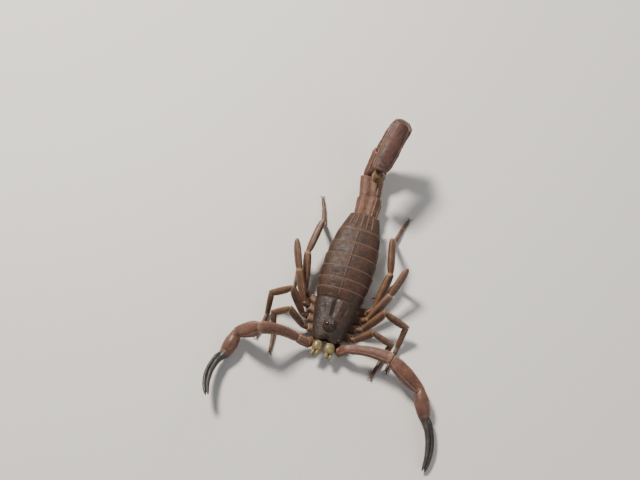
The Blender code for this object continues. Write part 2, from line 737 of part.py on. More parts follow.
def main():
    for thing in list(bpy.data.objects):
        bpy.data.objects.remove(thing)
    model = bpy.data.collections.new("scorpion")
    bpy.context.scene.collection.children.link(model)
    cuticle = make_material("brown_cuticle", CUTICLE)
    pale = make_material("pale_cuticle", PALE)
    dark = make_material("dark_finger", DARK)
    tan = make_material("glossy_tan", GLOSSY_TAN)
    black = make_material("eye_black", EYE_BLACK)
    build_shield(cuticle)
    build_eyes(black)
    build_mesosoma(cuticle)
    build_underside(cuticle)
    build_combs(pale)
    build_jaws(pale)
    build_tail(cuticle)
    build_sting(tan)
    for side, label in ((1, "left"), (-1, "right")):
        build_arm(side, label, (cuticle, dark))
        for row in range(4):
            build_leg(side, label, row, cuticle)
    set_origin(model)


main()
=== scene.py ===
"""Dressed model of a Babycurus jacksoni scorpion, an adult female at rest, built round its solids.

The plan is in millimetres with its zero on the floor below the middle of the head shield's front
edge. The head faces -Y and the animal's left side is +X. DESK turns the plan to metres in the frame.
"""
import itertools
import math
import random

import bmesh
import bpy
from mathutils import Matrix, Vector, noise


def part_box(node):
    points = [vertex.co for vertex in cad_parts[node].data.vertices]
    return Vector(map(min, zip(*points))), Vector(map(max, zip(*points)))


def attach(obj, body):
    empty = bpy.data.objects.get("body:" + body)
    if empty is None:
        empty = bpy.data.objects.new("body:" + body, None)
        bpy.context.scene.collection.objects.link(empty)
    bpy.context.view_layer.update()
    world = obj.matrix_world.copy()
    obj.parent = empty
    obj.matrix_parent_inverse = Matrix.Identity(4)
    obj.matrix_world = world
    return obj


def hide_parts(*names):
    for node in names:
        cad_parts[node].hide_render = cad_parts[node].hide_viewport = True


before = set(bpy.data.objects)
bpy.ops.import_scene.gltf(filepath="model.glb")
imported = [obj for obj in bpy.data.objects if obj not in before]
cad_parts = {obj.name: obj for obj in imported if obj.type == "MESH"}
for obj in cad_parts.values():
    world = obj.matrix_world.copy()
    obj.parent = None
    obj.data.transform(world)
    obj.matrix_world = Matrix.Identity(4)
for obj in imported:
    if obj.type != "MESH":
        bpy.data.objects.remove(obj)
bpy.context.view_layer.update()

MM = 0.001
LABELS = {1: "left", -1: "right"}

# Camera
CAMERA_AZIMUTH = 17.0
CAMERA_ELEVATION = 62.0
CAMERA_DISTANCE = 0.143
CAMERA_FOCAL_PIXELS = 760.0
PHOTO_SIZE = (640, 480)
HEAD_PIXEL = (325, 341)
HEAD_HEIGHT = 4.0
SENSOR_WIDTH = 36.0
NEAR_CLIP = 0.005

# Studio: each light has its place and size in metres, power in watts, and colour
LIGHTS = {
    "key_light": ((-0.17, 0.12, 0.28), 0.07, 2.2, (1.0, 0.94, 0.86)),
    "fill_light": ((0.3, -0.15, 0.22), 0.25, 0.5, (0.95, 0.97, 1.0)),
    "rim_light": ((0.1, 0.35, 0.14), 0.12, 0.4, (1.0, 0.97, 0.92)),
}
LIGHT_AIM = 0.012
SKY_COLOUR = (0.9, 0.93, 1.0, 1.0)
SKY_STRENGTH = 0.22
FLOOR_HALF_WIDTH = 1.5

# Trunk
SHIELD_LENGTH = 8.6
SHIELD_FRONT = 2.6
SHIELD_REAR = 4.3
SHIELD_UNDERSIDE = 2.4
SHIELD_CRESTS = (4.0, 5.6)
SHIELD_SIDE_LINE = 2.95
SHIELD_POWER = 0.7
SHIELD_WIDTH_STOPS = ((0, SHIELD_FRONT), (0.3, 3.25), (0.7, 4.0), (0.95, SHIELD_REAR),
                      (1, SHIELD_REAR - 0.05))
SHIELD_CREST_STOPS = ((0, SHIELD_CRESTS[0]), (0.1, 4.35), (0.45, 4.95), (0.9, SHIELD_CRESTS[1]),
                      (1, SHIELD_CRESTS[1] - 0.1))
SHIELD_GRID = (230, 130)
EYE_MOUND_PLACE = 3.1
EYE_MOUND_REACH = 1.5
EYE_MOUND_HEIGHT = 0.55
EYE_SPREAD = 0.6
EYE_RADIUS = 0.4
# Side place, distance from the front and radius of the small eyes
CORNER_EYES = ((2.33, 0.5, 0.15), (2.5, 0.86, 0.16), (2.63, 1.22, 0.13))
TERGITE_LENGTHS = (1.6, 2.1, 2.5, 2.8, 3.0, 3.2, 4.2)
TERGITE_HALF_WIDTHS = (4.35, 4.65, 4.95, 5.15, 5.15, 4.9, 4.3, 2.9)
TERGITE_CRESTS = (5.7, 6.0, 6.25, 6.4, 6.35, 6.15, 5.75, 5.0)
PLATE_TUCK = 0.35
PLATE_THICKNESS = 0.17
PLATE_GRID = (180, 26)
PLATE_ROWS_PER_MM = 14
BELLY_PLATE_THICKNESS = 0.12
BELLY_PLATE_GRID = (70, 24)
FLANK_GRID = (90, 190)
SIDE_LINE = 3.2
BELLY = 1.3
BELLY_REAR = 1.0
BASE_MIDDLE = 1.42

# Tail
TAIL_ROOT = (0.0, 28.0, 2.9)
TAIL_STEPS = (
    (4.9, -3.0, -6.0),
    (5.7, -9.0, -1.0),
    (6.1, 16.0, 40.5),
    (6.8, 41.5, 60.5),
    (2.3, 178.0, 50.0),
    (9.3, 190.5, -15.0),
)
TAIL_RINGS = ((0, 0), (1, 1), (2, 2), (3, 3), (4, 5))
TAIL_REACH = 2.6
TAIL_NECK = 0.16
TAIL_HALF_WIDTHS = (2.45, 2.35, 2.3, 2.2, 2.0)
TAIL_HALF_HEIGHTS = (2.25, 2.25, 2.2, 2.1, 1.9)
STING_STEPS = ((0.9, 186.0, -58.0), (3.2, 5.0, -78.0), (1.2, 176.0, -52.0), (1.5, 180.0, -8.0))
VESICLE_HALF_WIDTH = 1.35
VESICLE_HALF_HEIGHT = 1.3

# Arms
ARM_ROOT = (3.2, -0.7, 2.3)
ARM_BASE = (1.1, 1.4, 1.4)
ARM_STEPS = {
    "left": ((2.3, 79.0, 53.0), (8.4, 88.6, 8.0), (7.6, 118.6, -16.4), (4.6, 154.2, -18.3)),
    "right": ((2.3, -87.5, 25.0), (8.4, -105.7, 36.8), (7.6, -91.5, -50.0), (4.6, -166.8, -9.4)),
}
ARM_ROLL = math.radians(35.0)
HAND_LENGTH = 4.6
FINGER_LENGTH = 10.2
FINGER_PARTS = 4
FINGER_TURN = {"left": (142.0, 193.0, -5.4), "right": (-148.0, -216.0, 15.0)}
FINGER_APART = 0.46
ARM_AROUND = 110
HAND_AROUND = 96
FINGER_AROUND = 64
FINGER_RINGS = 38
# The limb's steps after its hidden base
TROCHANTER, FEMUR, PATELLA, HAND, FIRST_FINGER = range(1, 6)
ARM_HALF_WIDTHS = {"trochanter": 0.88, "femur": 1.12, "patella": 1.38, "hand": 1.5}
ARM_HALF_HEIGHTS = {"trochanter": 0.88, "femur": 1.12, "patella": 1.24, "hand": 1.35}
# How far the middle of the upper arm bows to the rear and up
FEMUR_BOW = (0.4, 0.3)

# Legs, front to rear
HIPS = ((4.3, 2.6), (4.9, 4.7), (5.3, 6.8), (5.7, 8.8))
HIP_HEIGHT = 1.45
LEG_BASES = ((1.0, 3.3), (0.9, 4.7), (1.1, 6.1), (1.3, 7.5))
LEG_LENGTHS = (
    (1.2, 4.6, 4.2, 3.6, 2.4, 1.9),
    (1.4, 5.8, 5.0, 4.4, 2.7, 2.1),
    (1.5, 6.4, 5.2, 5.0, 3.0, 2.3),
    (1.6, 7.8, 6.6, 6.2, 3.8, 2.6),
)
LEG_SCALES = (0.85, 0.95, 1.0, 1.1)
FOOT_HEIGHT = 0.34
LEG_AROUND = 44
LEG_ROWS_PER_MM = 9
CLAW_SPLAY = 24
HEEL_SPUR_SPLAY = 55
ANKLE_SPUR_TURN = 80
LEG_POSES = {
    "left": (
        ((95, 30), (70, 45), (98, -28), (205, None), (195, -4), (195, -2)),
        ((80, 30), (48, 38), (100, -26), (190, None), (190, -9), (192, -3)),
        ((75, 35), (30, 22), (20, 22), (250, None), (225, -27), (220, -2)),
        ((60, 5), (10, 22), (-12, 15), (3, None), (12, -4), (18, -2)),
    ),
    "right": (
        ((-95, 30), (-66, 50), (-102, -38), (-196, None), (-190, -4), (-186, -2)),
        ((-80, 30), (-46, 50), (-104, -34), (-180, None), (-176, -9), (-170, -3)),
        ((-75, 35), (-26, 28), (-22, 12), (-208, None), (-190, -22), (-184, -2)),
        ((-60, 5), (-12, 24), (8, 12), (-8, None), (-16, -4), (-22, -2)),
    ),
}

# Combs
COMB_ROOT = (0.95, 12.3, 0.66)
COMB_STEPS = ((2.1, 58.0, 0.0), (2.1, 44.0, 0.0), (1.6, 30.0, 0.0))
COMB_TEETH = 22

# Jaws: side offset, drop, reach and teeth of the fixed and the moving finger
JAW_X = 1.12
JAW_ROOT = (-0.35, 3.2)
JAW_LENGTH = 1.6
JAW_FINGERS = ((-0.4, 0.22, 1.0, 3), (0.42, -0.08, 1.15, 4))
JAW_HALF_WIDTH = 0.97
JAW_HALF_HEIGHT = 0.84

# Bristles
BRISTLE_RADII = (0.017, 0.003)
BRISTLE_OUT = 0.45
BRISTLE_FLOOR = 0.02

shield_low, shield_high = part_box("carapace")
DESK = Vector(((shield_low.x + shield_high.x) / 2, shield_low.y, 0.0))
rng = random.Random(7)


def direction(heading, pitch):
    """Unit vector; heading turns from +Y toward +X and pitch lifts it, in degrees."""
    turn, lift = math.radians(heading), math.radians(pitch)
    flat = math.cos(lift)
    return Vector((math.sin(turn) * flat, math.cos(turn) * flat, math.sin(lift)))


def walk(start, steps):
    """Joint points met on the way from start through steps of (length, heading, pitch)."""
    points = [Vector(start)]
    for length, heading, pitch in steps:
        points.append(points[-1] + direction(heading, pitch) * length)
    return points


def blend(stops, place):
    """Value at a place on a smooth line through a few (place, value) stops."""
    if place <= stops[0][0]:
        return stops[0][1]
    for index in range(1, len(stops)):
        if place <= stops[index][0]:
            (start, low), (end, high) = stops[index - 1], stops[index]
            before, after = stops[max(index - 2, 0)], stops[min(index + 1, len(stops) - 1)]
            width = end - start
            leave = (high - before[1]) / (end - before[0]) * width
            arrive = (after[1] - low) / (after[0] - start) * width
            t = (place - start) / width
            return ((1 + 2 * t) * (1 - t) ** 2 * low + t * (1 - t) ** 2 * leave
                    + t * t * (3 - 2 * t) * high + t * t * (t - 1) * arrive)
    return stops[-1][1]


def bump(value):
    """Smooth rise from 0 to 1 for a value between 0 and 1."""
    value = min(max(value, 0.0), 1.0)
    return value * value * (3 - 2 * value)


def peak(away, width):
    """Smooth hill: 1 where away is 0, down to 0 at a width to either side."""
    return bump(1 - abs(away) / width)


def near_ends(share, first, last):
    """Smooth mark at both ends of a length: within first of its start and last of its end."""
    return max(bump(1 - share / first), bump(1 - (1 - share) / last))


def apart(angle, other):
    """Angle between two directions round a section."""
    return abs((angle - other + math.pi) % math.tau - math.pi)


def squared(value, power):
    """Signed power: below 1 it squares off a circle, above 1 it pinches it."""
    return math.copysign(abs(value) ** power, value)


def mirrored(point, side):
    """The same place on the left (side 1) or on the right (side -1)."""
    return (point[0] * side, point[1], point[2])


def disc(size, angle, joint=0.0):
    """A plain round section: across, above and the two marks."""
    return size * math.sin(angle), size * math.cos(angle), 0.0, joint


def granules(place, spacing, fill=0.42):
    """Round grains scattered over a surface: 1 on top of a grain and 0 between them."""
    distance = noise.voronoi(place / spacing)[0][0]
    return bump(1 - distance / fill)


class Limb:
    """Centre line of a jointed limb. A bend's two neighbours meet in the plane that halves it."""

    def __init__(self, points, up=(0.0, 0.0, 1.0), first=None, reach=1.0):
        self.reach = reach
        self.points = [Vector(point) for point in points]
        self.ways = [(b - a).normalized() for a, b in zip(self.points, self.points[1:])]
        self.ups = []
        for index, way in enumerate(self.ways):
            carried = Vector(up)
            if index:
                carried = self.ways[index - 1].rotation_difference(way) @ self.ups[-1]
            self.ups.append((carried - way * carried.dot(way)).normalized())
        halves = [(a + b).normalized() for a, b in zip(self.ways, self.ways[1:])]
        self.planes = [Vector(first) if first else self.ways[0]] + halves + [self.ways[-1]]

    def length(self, step):
        return (self.points[step + 1] - self.points[step]).length

    def fade(self, step, plane):
        """Share of one length over which the slant of a joint's plane dies out."""
        half_bend = math.acos(min(1.0, abs(self.ways[step].dot(self.planes[plane]))))
        return min(0.5, (self.reach * math.tan(half_bend) * 1.15 + 0.4) / self.length(step))

    def spot(self, step, share, across, above):
        """A place beside one length, slid along it so that rings near a bend lie in its plane."""
        way, up = self.ways[step], self.ups[step]
        offset = way.cross(up) * across + up * above
        slide = 0.0
        for plane, away in ((step, share), (step + 1, 1 - share)):
            normal = self.planes[plane]
            weight = bump(1 - away / self.fade(step, plane))
            slide += weight * offset.dot(normal) / way.dot(normal)
        return self.points[step].lerp(self.points[step + 1], share) + offset - way * slide


# Skins

RIDGE, JOINT = "ridge", "joint"
WELD = 0.002
CUFF_RINGS = 4
CUFF_DEPTH = 0.5
CUFF_SHRINK = 0.3


def new_form():
    """An empty bmesh whose points carry two marks: ridge for grains and keels, joint for pale ends."""
    form = bmesh.new()
    form.verts.layers.float.new(RIDGE)
    form.verts.layers.float.new(JOINT)
    return form


def lay(form, verts, surface):
    """Move a flat unit grid onto surface(across, along), which gives a place and two marks."""
    ridge = form.verts.layers.float[RIDGE]
    joint = form.verts.layers.float[JOINT]
    for vert in verts:
        place, ridge_mark, joint_mark = surface(vert.co.x + 0.5, vert.co.y + 0.5)
        vert.co = (place[0], place[1], max(place[2], 0.0))
        vert[ridge] = ridge_mark
        vert[joint] = joint_mark


def roll(form, around, along, surface):
    """Add a closed skin: a grid rolled up over surface(angle, share), with both ends filled."""
    verts = bmesh.ops.create_grid(form, x_segments=around, y_segments=along, size=0.5)["verts"]
    lay(form, verts, lambda across, share: surface(across * math.tau, share))
    bmesh.ops.remove_doubles(form, verts=verts, dist=WELD)
    rims = list(dict.fromkeys(edge for vert in verts if vert.is_valid
                              for edge in vert.link_edges if edge.is_boundary))
    caps = bmesh.ops.holes_fill(form, edges=rims, sides=0)["faces"]
    bmesh.ops.poke(form, faces=caps)


def sheet_skin(form, around, along, surface, thickness):
    """Add a plate of one thickness on a grid laid over surface(across, along)."""
    verts = bmesh.ops.create_grid(form, x_segments=around, y_segments=along, size=0.5)["verts"]
    lay(form, verts, surface)
    faces = list(dict.fromkeys(face for vert in verts for face in vert.link_faces))
    bmesh.ops.recalc_face_normals(form, faces=faces)
    bmesh.ops.solidify(form, geom=faces, thickness=thickness)


def limb_skin(form, limb, steps, rings, around, section, starts=(0.0, 0.0), folds=(True, True)):
    """Add a skin round some lengths of a limb; its ends fold in like a cuff where folds says so.

    section(step, share, angle) gives across, above and the two marks. starts are the distances past
    the joint planes at which the skin starts and ends, outwards.
    """
    first, last = steps
    along = sum(rings) + CUFF_RINGS * (folds[0] + folds[1])

    def surface(angle, share):
        place = share * along - CUFF_RINGS * folds[0]
        inside = max(0.0, -place, place - sum(rings)) / CUFF_RINGS
        if inside < 0.001:
            inside = 0.0
        place = min(max(place, 0.0), sum(rings) - 0.0001)
        step = first
        while step < last and place >= rings[step - first] - 0.001:
            place -= rings[step - first]
            step += 1
        local = min(max(place, 0.0) / rings[step - first], 1.0)
        depth = CUFF_DEPTH * inside / limb.length(step)
        low = -starts[0] / limb.length(step) if step == first else 0.0
        high = 1 + starts[1] / limb.length(step) if step == last else 1.0
        across, above, ridge, joint = section(step, local, angle)
        shrink = 1 - CUFF_SHRINK * math.sqrt(inside) if inside else 1.0
        where = low + (high - low) * local
        where += depth if local < 0.5 else -depth
        return limb.spot(step, where, across * shrink, above * shrink), ridge, joint

    roll(form, around, along, surface)


def prong(form, points, rings, around, section):
    """Add a closed skin along a few points, with no cuffs."""
    steps = len(points) - 1
    limb_skin(form, Limb(points), (0, steps - 1), (rings,) * steps, around, section, folds=(False, False))


def add_object(name, data):
    """A new thing in the scene that shows a mesh, a lamp or a camera."""
    thing = bpy.data.objects.new(name, data)
    bpy.context.scene.collection.objects.link(thing)
    return thing


def finished(name, form, material, nodes=()):
    """Turn a bmesh in plan millimetres into a named piece that rides on the body."""
    for vert in form.verts:
        vert.co = vert.co * MM + DESK
    bmesh.ops.recalc_face_normals(form, faces=form.faces)
    mesh = bpy.data.meshes.new(name)
    form.to_mesh(mesh)
    form.free()
    mesh.shade_smooth()
    mesh.materials.append(material)
    thing = add_object(name, mesh)
    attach(thing, "root")
    if nodes:
        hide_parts(*nodes)
    return thing


# Finishes

def add_node(tree, kind, **inputs):
    """A new node, with its sockets set by name; an underscore stands for a space."""
    node = tree.nodes.new(kind)
    for label, value in inputs.items():
        node.inputs[label.replace("_", " ")].default_value = value
    return node


def mix_colours(tree, share, first, second):
    """Mix two colour sockets by a share socket and give the mixed socket."""
    node = tree.nodes.new("ShaderNodeMix")
    node.data_type = "RGBA"
    tree.links.new(share, node.inputs["Factor"])
    tree.links.new(first, node.inputs[6])
    tree.links.new(second, node.inputs[7])
    return node.outputs[2]


def maths(tree, operation, first, second):
    """One sum on sockets or numbers."""
    node = tree.nodes.new("ShaderNodeMath")
    node.operation = operation
    for place, value in enumerate((first, second)):
        if isinstance(value, (int, float)):
            node.inputs[place].default_value = value
        else:
            tree.links.new(value, node.inputs[place])
    return node.outputs[0]


def spread(tree, value, low, high, new_low, new_high):
    """Stretch a value socket from one range to another, kept inside it."""
    node = add_node(tree, "ShaderNodeMapRange")
    tree.links.new(value, node.inputs["Value"])
    for label, number in (("From Min", low), ("From Max", high), ("To Min", new_low), ("To Max", new_high)):
        node.inputs[label].default_value = number
    return node.outputs["Result"]


def start_group(name, inputs, outputs):
    """An empty node group with named sockets, given as (label, kind, default)."""
    tree = bpy.data.node_groups.new(name, "ShaderNodeTree")
    for label, kind, default in inputs:
        socket = tree.interface.new_socket(label, in_out="INPUT", socket_type="NodeSocket" + kind)
        socket.default_value = default
    for label, kind in outputs:
        tree.interface.new_socket(label, in_out="OUTPUT", socket_type="NodeSocket" + kind)
    return tree, tree.nodes.new("NodeGroupInput"), tree.nodes.new("NodeGroupOutput")


def texture(tree, kind, scale, **inputs):
    """A texture node on object coordinates, with its scale from a socket or a number."""
    node = add_node(tree, kind, **inputs)
    where = tree.nodes.new("ShaderNodeTexCoord").outputs["Object"]
    tree.links.new(where, node.inputs["Vector"])
    if isinstance(scale, (int, float)):
        node.inputs["Scale"].default_value = scale
    else:
        tree.links.new(scale, node.inputs["Scale"])
    return node


def mark(tree, name):
    """The value of one of the marks that the skins carry."""
    node = tree.nodes.new("ShaderNodeAttribute")
    node.attribute_name = name
    return node.outputs["Fac"]


def make_shell_tone():
    """Colour of a shell: mottled ground, tinted grains and keels, and pale joint ends."""
    tree, given, result = start_group(
        "shell tone",
        (("Ground", "Color", (0.1, 0.05, 0.03, 1)), ("Shade", "Color", (0.05, 0.02, 0.01, 1)),
         ("Grain", "Color", (0.2, 0.1, 0.06, 1)), ("Joint", "Color", (0.3, 0.2, 0.1, 1)),
         ("Mottle Scale", "Float", 700.0)),
        (("Color", "Color"),))
    broad = texture(tree, "ShaderNodeTexNoise", given.outputs["Mottle Scale"], Detail=5.0, Roughness=0.62)
    fine_scale = maths(tree, "MULTIPLY", given.outputs["Mottle Scale"], 5.0)
    fine = texture(tree, "ShaderNodeTexNoise", fine_scale, Detail=3.0)
    blotch = spread(tree, broad.outputs["Fac"], 0.36, 0.66, 0.0, 1.0)
    fleck = spread(tree, fine.outputs["Fac"], 0.42, 0.66, 0.0, 0.65)
    ground = mix_colours(tree, blotch, given.outputs["Ground"], given.outputs["Shade"])
    ground = mix_colours(tree, fleck, ground, given.outputs["Shade"])
    raised = spread(tree, mark(tree, RIDGE), 0.12, 0.95, 0.0, 0.85)
    raised = maths(tree, "MULTIPLY", raised, spread(tree, fine.outputs["Fac"], 0.3, 0.6, 0.75, 1.0))
    grained = mix_colours(tree, raised, ground, given.outputs["Grain"])
    ends = maths(tree, "MULTIPLY", mark(tree, JOINT), spread(tree, broad.outputs["Fac"], 0.3, 0.6, 0.8, 1.0))
    finish = mix_colours(tree, ends, grained, given.outputs["Joint"])
    tree.links.new(finish, result.inputs["Color"])
    return tree


def make_shell_grain():
    """Relief and roughness of a shell: fine grains, pores and worn high spots."""
    tree, given, result = start_group(
        "shell grain",
        (("Grain Scale", "Float", 7000.0), ("Smooth", "Float", 0.3), ("Rough", "Float", 0.5)),
        (("Height", "Float"), ("Roughness", "Float")))
    scale = given.outputs["Grain Scale"]
    cells = texture(tree, "ShaderNodeTexVoronoi", scale)
    cells.feature = "SMOOTH_F1"
    grains = spread(tree, cells.outputs["Distance"], 0.05, 0.55, 1.0, 0.0)
    pores = texture(tree, "ShaderNodeTexNoise", maths(tree, "MULTIPLY", scale, 0.45), Detail=4.0)
    height = maths(tree, "ADD", maths(tree, "MULTIPLY", grains, 0.6),
                   maths(tree, "MULTIPLY", pores.outputs["Fac"], 0.6))
    wear = texture(tree, "ShaderNodeTexNoise", maths(tree, "MULTIPLY", scale, 0.12), Detail=3.0)
    share = spread(tree, wear.outputs["Fac"], 0.35, 0.65, 0.0, 1.0)
    gap = maths(tree, "SUBTRACT", given.outputs["Rough"], given.outputs["Smooth"])
    roughness = maths(tree, "ADD", given.outputs["Smooth"], maths(tree, "MULTIPLY", share, gap))
    tree.links.new(height, result.inputs["Height"])
    tree.links.new(roughness, result.inputs["Roughness"])
    return tree


def make_dark_net():
    """Dark net-like lines over a pale ground, as on the jaws."""
    tree, given, result = start_group(
        "dark net",
        (("Ground", "Color", (0.5, 0.4, 0.2, 1)), ("Lines", "Color", (0.1, 0.06, 0.03, 1)),
         ("Net Scale", "Float", 2600.0)),
        (("Color", "Color"),))
    warp = texture(tree, "ShaderNodeTexNoise", given.outputs["Net Scale"])
    cells = texture(tree, "ShaderNodeTexVoronoi", given.outputs["Net Scale"])
    cells.feature = "DISTANCE_TO_EDGE"
    lines = spread(tree, cells.outputs["Distance"], 0.03, 0.2, 1.0, 0.0)
    lines = maths(tree, "MULTIPLY", lines, spread(tree, warp.outputs["Fac"], 0.4, 0.6, 0.15, 0.9))
    smoky = maths(tree, "MULTIPLY", mark(tree, RIDGE), spread(tree, warp.outputs["Fac"], 0.35, 0.6, 0.4, 1.0))
    tipped = maths(tree, "MAXIMUM", maths(tree, "MAXIMUM", lines, smoky), mark(tree, JOINT))
    tree.links.new(mix_colours(tree, tipped, given.outputs["Ground"], given.outputs["Lines"]),
                   result.inputs["Color"])
    return tree


SHELL_TONE = make_shell_tone()
SHELL_GRAIN = make_shell_grain()
DARK_NET = make_dark_net()


def place_group(tree, group, **inputs):
    """Put a node group in a material with its own values."""
    node = tree.nodes.new("ShaderNodeGroup")
    node.node_tree = group
    for label, value in inputs.items():
        socket = node.inputs[label.replace("_", " ")]
        socket.default_value = (*value, 1.0) if isinstance(value, tuple) else value
    return node


def start_material(name, **gloss):
    """A material whose shader has its constant values set; an underscore stands for a space."""
    material = bpy.data.materials.new(name)
    material.use_nodes = True
    shader = material.node_tree.nodes["Principled BSDF"]
    for label, value in gloss.items():
        shader.inputs[label.replace("_", " ")].default_value = value
    return material, material.node_tree, shader


def add_relief(tree, shader, height, distance, strength=1.0):
    """Let a height socket roughen the surface."""
    relief = add_node(tree, "ShaderNodeBump", Strength=strength, Distance=distance)
    tree.links.new(height, relief.inputs["Height"])
    tree.links.new(relief.outputs["Normal"], shader.inputs["Normal"])


def coat(tree, shader, colour, grain_scale, rough, relief):
    """Give a shader its colour socket, and the roughness and relief of shell grain."""
    grain = place_group(tree, SHELL_GRAIN, Grain_Scale=grain_scale, Smooth=rough[0], Rough=rough[1])
    tree.links.new(colour, shader.inputs["Base Color"])
    tree.links.new(grain.outputs["Roughness"], shader.inputs["Roughness"])
    add_relief(tree, shader, grain.outputs["Height"], relief * MM)


def shell(name, ground, shade, grain, joint, rough, grain_size, relief=0.02, mottle=700.0, **gloss):
    """A scorpion shell finish; grain size and relief are in millimetres."""
    material, tree, shader = start_material(name, **gloss)
    tone = place_group(tree, SHELL_TONE, Ground=ground, Shade=shade, Grain=grain, Joint=joint,
                       Mottle_Scale=mottle)
    coat(tree, shader, tone.outputs["Color"], 1 / (grain_size * MM), rough, relief)
    return material


head_shell = shell("head_shell", (0.045, 0.022, 0.014), (0.014, 0.009, 0.007), (0.11, 0.064, 0.042),
                   (0.11, 0.064, 0.042), (0.42, 0.6), 0.11, 0.024, 500.0, Specular_IOR_Level=0.35)
back_shell = shell("back_shell", (0.07, 0.031, 0.018), (0.026, 0.013, 0.009), (0.155, 0.085, 0.05),
                   (0.12, 0.068, 0.038), (0.48, 0.66), 0.11, 0.024, 500.0, Specular_IOR_Level=0.35)
tail_shell = shell("tail_shell", (0.155, 0.068, 0.04), (0.075, 0.031, 0.019), (0.34, 0.23, 0.16),
                   (0.2, 0.115, 0.075), (0.48, 0.66), 0.12, 0.026, 450.0, Specular_IOR_Level=0.35)
tail_end_shell = shell("tail_end_shell", (0.12, 0.05, 0.036), (0.052, 0.024, 0.019), (0.31, 0.21, 0.15),
                       (0.14, 0.088, 0.066), (0.48, 0.66), 0.12, 0.026, 450.0, Specular_IOR_Level=0.35)
arm_shell = shell("arm_shell", (0.165, 0.073, 0.047), (0.085, 0.037, 0.026), (0.33, 0.205, 0.145),
                  (0.42, 0.27, 0.17), (0.46, 0.62), 0.12, 0.022, 420.0, Specular_IOR_Level=0.35)
hand_shell = shell("hand_shell", (0.18, 0.081, 0.053), (0.09, 0.041, 0.029), (0.28, 0.165, 0.115),
                   (0.03, 0.03, 0.03), (0.36, 0.54), 0.16, 0.014, 420.0, Specular_IOR_Level=0.42)
finger_horn = shell("finger_horn", (0.032, 0.029, 0.026), (0.016, 0.015, 0.015), (0.055, 0.051, 0.046),
                    (0.13, 0.062, 0.038), (0.32, 0.48), 0.1, 0.008, 800.0, Coat_Weight=0.06,
                    Coat_Roughness=0.2, Specular_IOR_Level=0.4)
leg_shell = shell("leg_shell", (0.16, 0.077, 0.04), (0.075, 0.035, 0.02), (0.29, 0.175, 0.1),
                  (0.33, 0.21, 0.12), (0.38, 0.54), 0.1, 0.016, 600.0, Specular_IOR_Level=0.42)
foot_shell = shell("foot_shell", (0.135, 0.07, 0.039), (0.07, 0.035, 0.022), (0.24, 0.15, 0.095),
                   (0.3, 0.19, 0.115), (0.38, 0.52), 0.09, 0.014, 700.0, Specular_IOR_Level=0.42)
belly_shell = shell("belly_shell", (0.36, 0.22, 0.11), (0.24, 0.135, 0.065), (0.42, 0.28, 0.16),
                    (0.3, 0.17, 0.08), (0.26, 0.4), 0.18, 0.008, 300.0)
side_skin = shell("side_skin", (0.19, 0.115, 0.068), (0.1, 0.056, 0.035), (0.3, 0.2, 0.125),
                  (0.24, 0.155, 0.095), (0.45, 0.62), 0.06, 0.02, 500.0, Subsurface_Weight=0.15,
                  Subsurface_Scale=0.0006)
joint_skin = shell("joint_skin", (0.32, 0.21, 0.13), (0.2, 0.12, 0.07), (0.4, 0.29, 0.18),
                   (0.4, 0.29, 0.18), (0.45, 0.6), 0.05, 0.012, 900.0, Subsurface_Weight=0.2,
                   Subsurface_Scale=0.0005)
# Dark skin for the tail's joints: painted shade in the gaps between the tail rings and round the sting's
# root, far darker than the pale joint skin of the limbs.
tail_skin_painted_shade = shell("tail_skin_painted_shade", (0.062, 0.034, 0.025), (0.032, 0.018, 0.014), (0.11, 0.066, 0.05),
                  (0.11, 0.066, 0.05), (0.5, 0.65), 0.09, 0.03, 900.0, Specular_IOR_Level=0.3)
# Its joint colour is near black: the sting's own dark tip, and painted shade in a ring at the bulb's root.
bulb_shell = shell("bulb_shell", (0.19, 0.11, 0.05), (0.1, 0.05, 0.024), (0.28, 0.17, 0.085),
                   (0.022, 0.011, 0.008), (0.28, 0.42), 0.2, 0.012, 900.0, Coat_Weight=0.06,
                   Coat_Roughness=0.1, Specular_IOR_Level=0.2)
comb_shell = shell("comb_shell", (0.5, 0.36, 0.2), (0.36, 0.24, 0.12), (0.55, 0.42, 0.26),
                   (0.5, 0.36, 0.2), (0.3, 0.42), 0.08, 0.006, 900.0)
claw_horn = shell("claw_horn", (0.09, 0.04, 0.02), (0.05, 0.02, 0.01), (0.12, 0.06, 0.03),
                  (0.3, 0.18, 0.09), (0.2, 0.3), 0.1, 0.004, 900.0)


def make_jaw_shell():
    """Pale yellow jaw shell with its dark net and dark finger tips."""
    material, tree, shader = start_material("jaw_shell", Coat_Weight=0.1, Coat_Roughness=0.2)
    net = place_group(tree, DARK_NET, Ground=(0.33, 0.25, 0.082), Lines=(0.055, 0.042, 0.028))
    coat(tree, shader, net.outputs["Color"], 6000.0, (0.3, 0.48), 0.006)
    return material


def speckled(name, scale, detail, colours, rough, **gloss):
    """A finish with two colours and a range of roughness from one noise; gives the noise and shader too."""
    material, tree, shader = start_material(name, **gloss)
    cloud = texture(tree, "ShaderNodeTexNoise", scale, Detail=detail).outputs["Fac"]
    ramp = tree.nodes.new("ShaderNodeValToRGB")
    for element, colour in zip(ramp.color_ramp.elements, colours):
        element.color = (*colour, 1)
    tree.links.new(cloud, ramp.inputs["Fac"])
    tree.links.new(ramp.outputs["Color"], shader.inputs["Base Color"])
    tree.links.new(spread(tree, cloud, 0.3, 0.7, *rough), shader.inputs["Roughness"])
    return material, cloud, shader


def make_floor_paper():
    """Plain pale floor with the faint tooth of paper."""
    material, tooth, shader = speckled("floor_paper", 2200.0, 4.0, ((0.62, 0.6, 0.57), (0.68, 0.66, 0.63)),
                                       (0.6, 0.75), Specular_IOR_Level=0.3)
    add_relief(material.node_tree, shader, tooth, 0.02 * MM)
    return material


